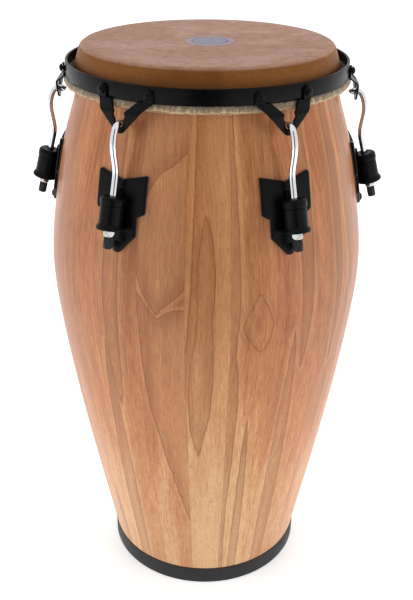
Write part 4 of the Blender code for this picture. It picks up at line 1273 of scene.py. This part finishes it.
# The setting: a pale seamless floor, two wide soft lights at the sides, one above and behind, and a dark
# card that lies under the camera and stands up behind it, which only reflections show.
CAMERA_DISTANCE = 1.0781
CAMERA_HEIGHT = 0.9168
CAMERA_AZIMUTH = 1.1
CAMERA_PITCH = 26.7
CAMERA_ROLL = 0.39
LENS = 54.16
LENS_SHIFT = 0.0012
FLOOR_GLOW = 0.50
SKY = 0.28


def seen_directly(near):
    """1 for rays from the camera, off a glossy face or through glass, and 0 for the rest."""
    path = put(near, "ShaderNodeLightPath").outputs
    return calc("MAXIMUM", path["Is Camera Ray"], path["Is Glossy Ray"], path["Is Transmission Ray"])


def floor_material():
    """Pale matt floor that glows a little, so that its shadows stay faint, and looks white further out."""
    material, shader, place = blank_material("pale_floor")
    far = span(length(place), 0.5, 2.5, 0.0, 1 - FLOOR_GLOW)
    feed(shader, {
        "Base Color": blended(noise(place, 3.0), rgb(242, 242, 243), rgb(246, 246, 246)),
        "Roughness": 0.9,
        "Specular IOR Level": 0.1,
        "Emission Color": (1, 1, 1, 1),
        "Emission Strength": calc("ADD", calc("MULTIPLY", far, seen_directly(shader)), FLOOR_GLOW),
    })
    return material


def felt_material():
    """Black felt, with no shine."""
    material, shader, place = blank_material("black_felt")
    feed(shader, {
        "Base Color": blended(noise(place, 300), rgb(8, 8, 8), rgb(16, 16, 16)),
        "Roughness": 1.0,
        "Specular IOR Level": 0.0,
    })
    return material


def backdrop(name, points, faces, material):
    """A mesh object of the setting."""
    mesh = bpy.data.meshes.new(name)
    mesh.from_pydata(points, [], faces)
    mesh.materials.append(material)
    return add(name, mesh)


def soft_light(name, place, aim, size, power):
    """A rectangular area light aimed at a point. Polished parts show the white room, not the lamp."""
    lamp = bpy.data.lights.new(name, "AREA")
    lamp.shape = "RECTANGLE"
    lamp.size, lamp.size_y = size
    lamp.energy = power
    made = add(name, lamp)
    turn = (Vector(aim) - Vector(place)).to_track_quat("-Z", "Y").to_matrix().to_4x4()
    made.matrix_world = Matrix.Translation(place) @ turn
    made.visible_glossy = False
    return made


corners = [(-9, -4, 0), (9, -4, 0), (9, 14, 0), (-9, 14, 0)]
ground = backdrop("floor", corners, [(0, 1, 2, 3)], floor_material())
flag = backdrop(
    "dark_card",
    [(-0.20, -0.75, 0.004), (0.20, -0.75, 0.004), (0.68, -2.6, 0.004), (-0.68, -2.6, 0.004),
     (0.68, -2.6, 2.4), (-0.68, -2.6, 2.4)],
    [(0, 1, 2, 3), (3, 2, 4, 5)],
    felt_material(),
)
flag.visible_camera = flag.visible_diffuse = flag.visible_shadow = False
lights = [
    soft_light("left_light", (-1.75, -0.75, 0.75), (0, 0, 0.3), (1.3, 1.5), 21),
    soft_light("right_light", (1.75, -0.75, 0.75), (0, 0, 0.3), (1.3, 1.5), 21),
    soft_light("back_light", (0.0, 1.3, 2.1), (0, 0, 0.6), (1.8, 1.0), 22),
]

world = bpy.data.worlds.new("studio")
world.use_nodes = True
sky = world.node_tree.nodes["Background"]
feed(sky, {"Color": (1, 1, 1, 1), "Strength": span(seen_directly(sky), 0.0, 1.0, SKY, 1.0)})
bpy.context.scene.world = world

lens = bpy.data.cameras.new("photo_camera")
lens.lens = LENS
lens.sensor_width = 36
lens.shift_x = LENS_SHIFT
camera = add("photo_camera", lens)
azimuth = np.radians(CAMERA_AZIMUTH)
camera.matrix_world = (
    Matrix.Translation((CAMERA_DISTANCE * np.sin(azimuth), -CAMERA_DISTANCE * np.cos(azimuth), CAMERA_HEIGHT))
    @ Matrix.Rotation(azimuth, 4, "Z")
    @ Matrix.Rotation(np.radians(90 - CAMERA_PITCH), 4, "X")
    @ Matrix.Rotation(np.radians(CAMERA_ROLL), 4, "Z")
)
bpy.context.scene.camera = camera
bpy.context.scene.view_settings.view_transform = "Standard"
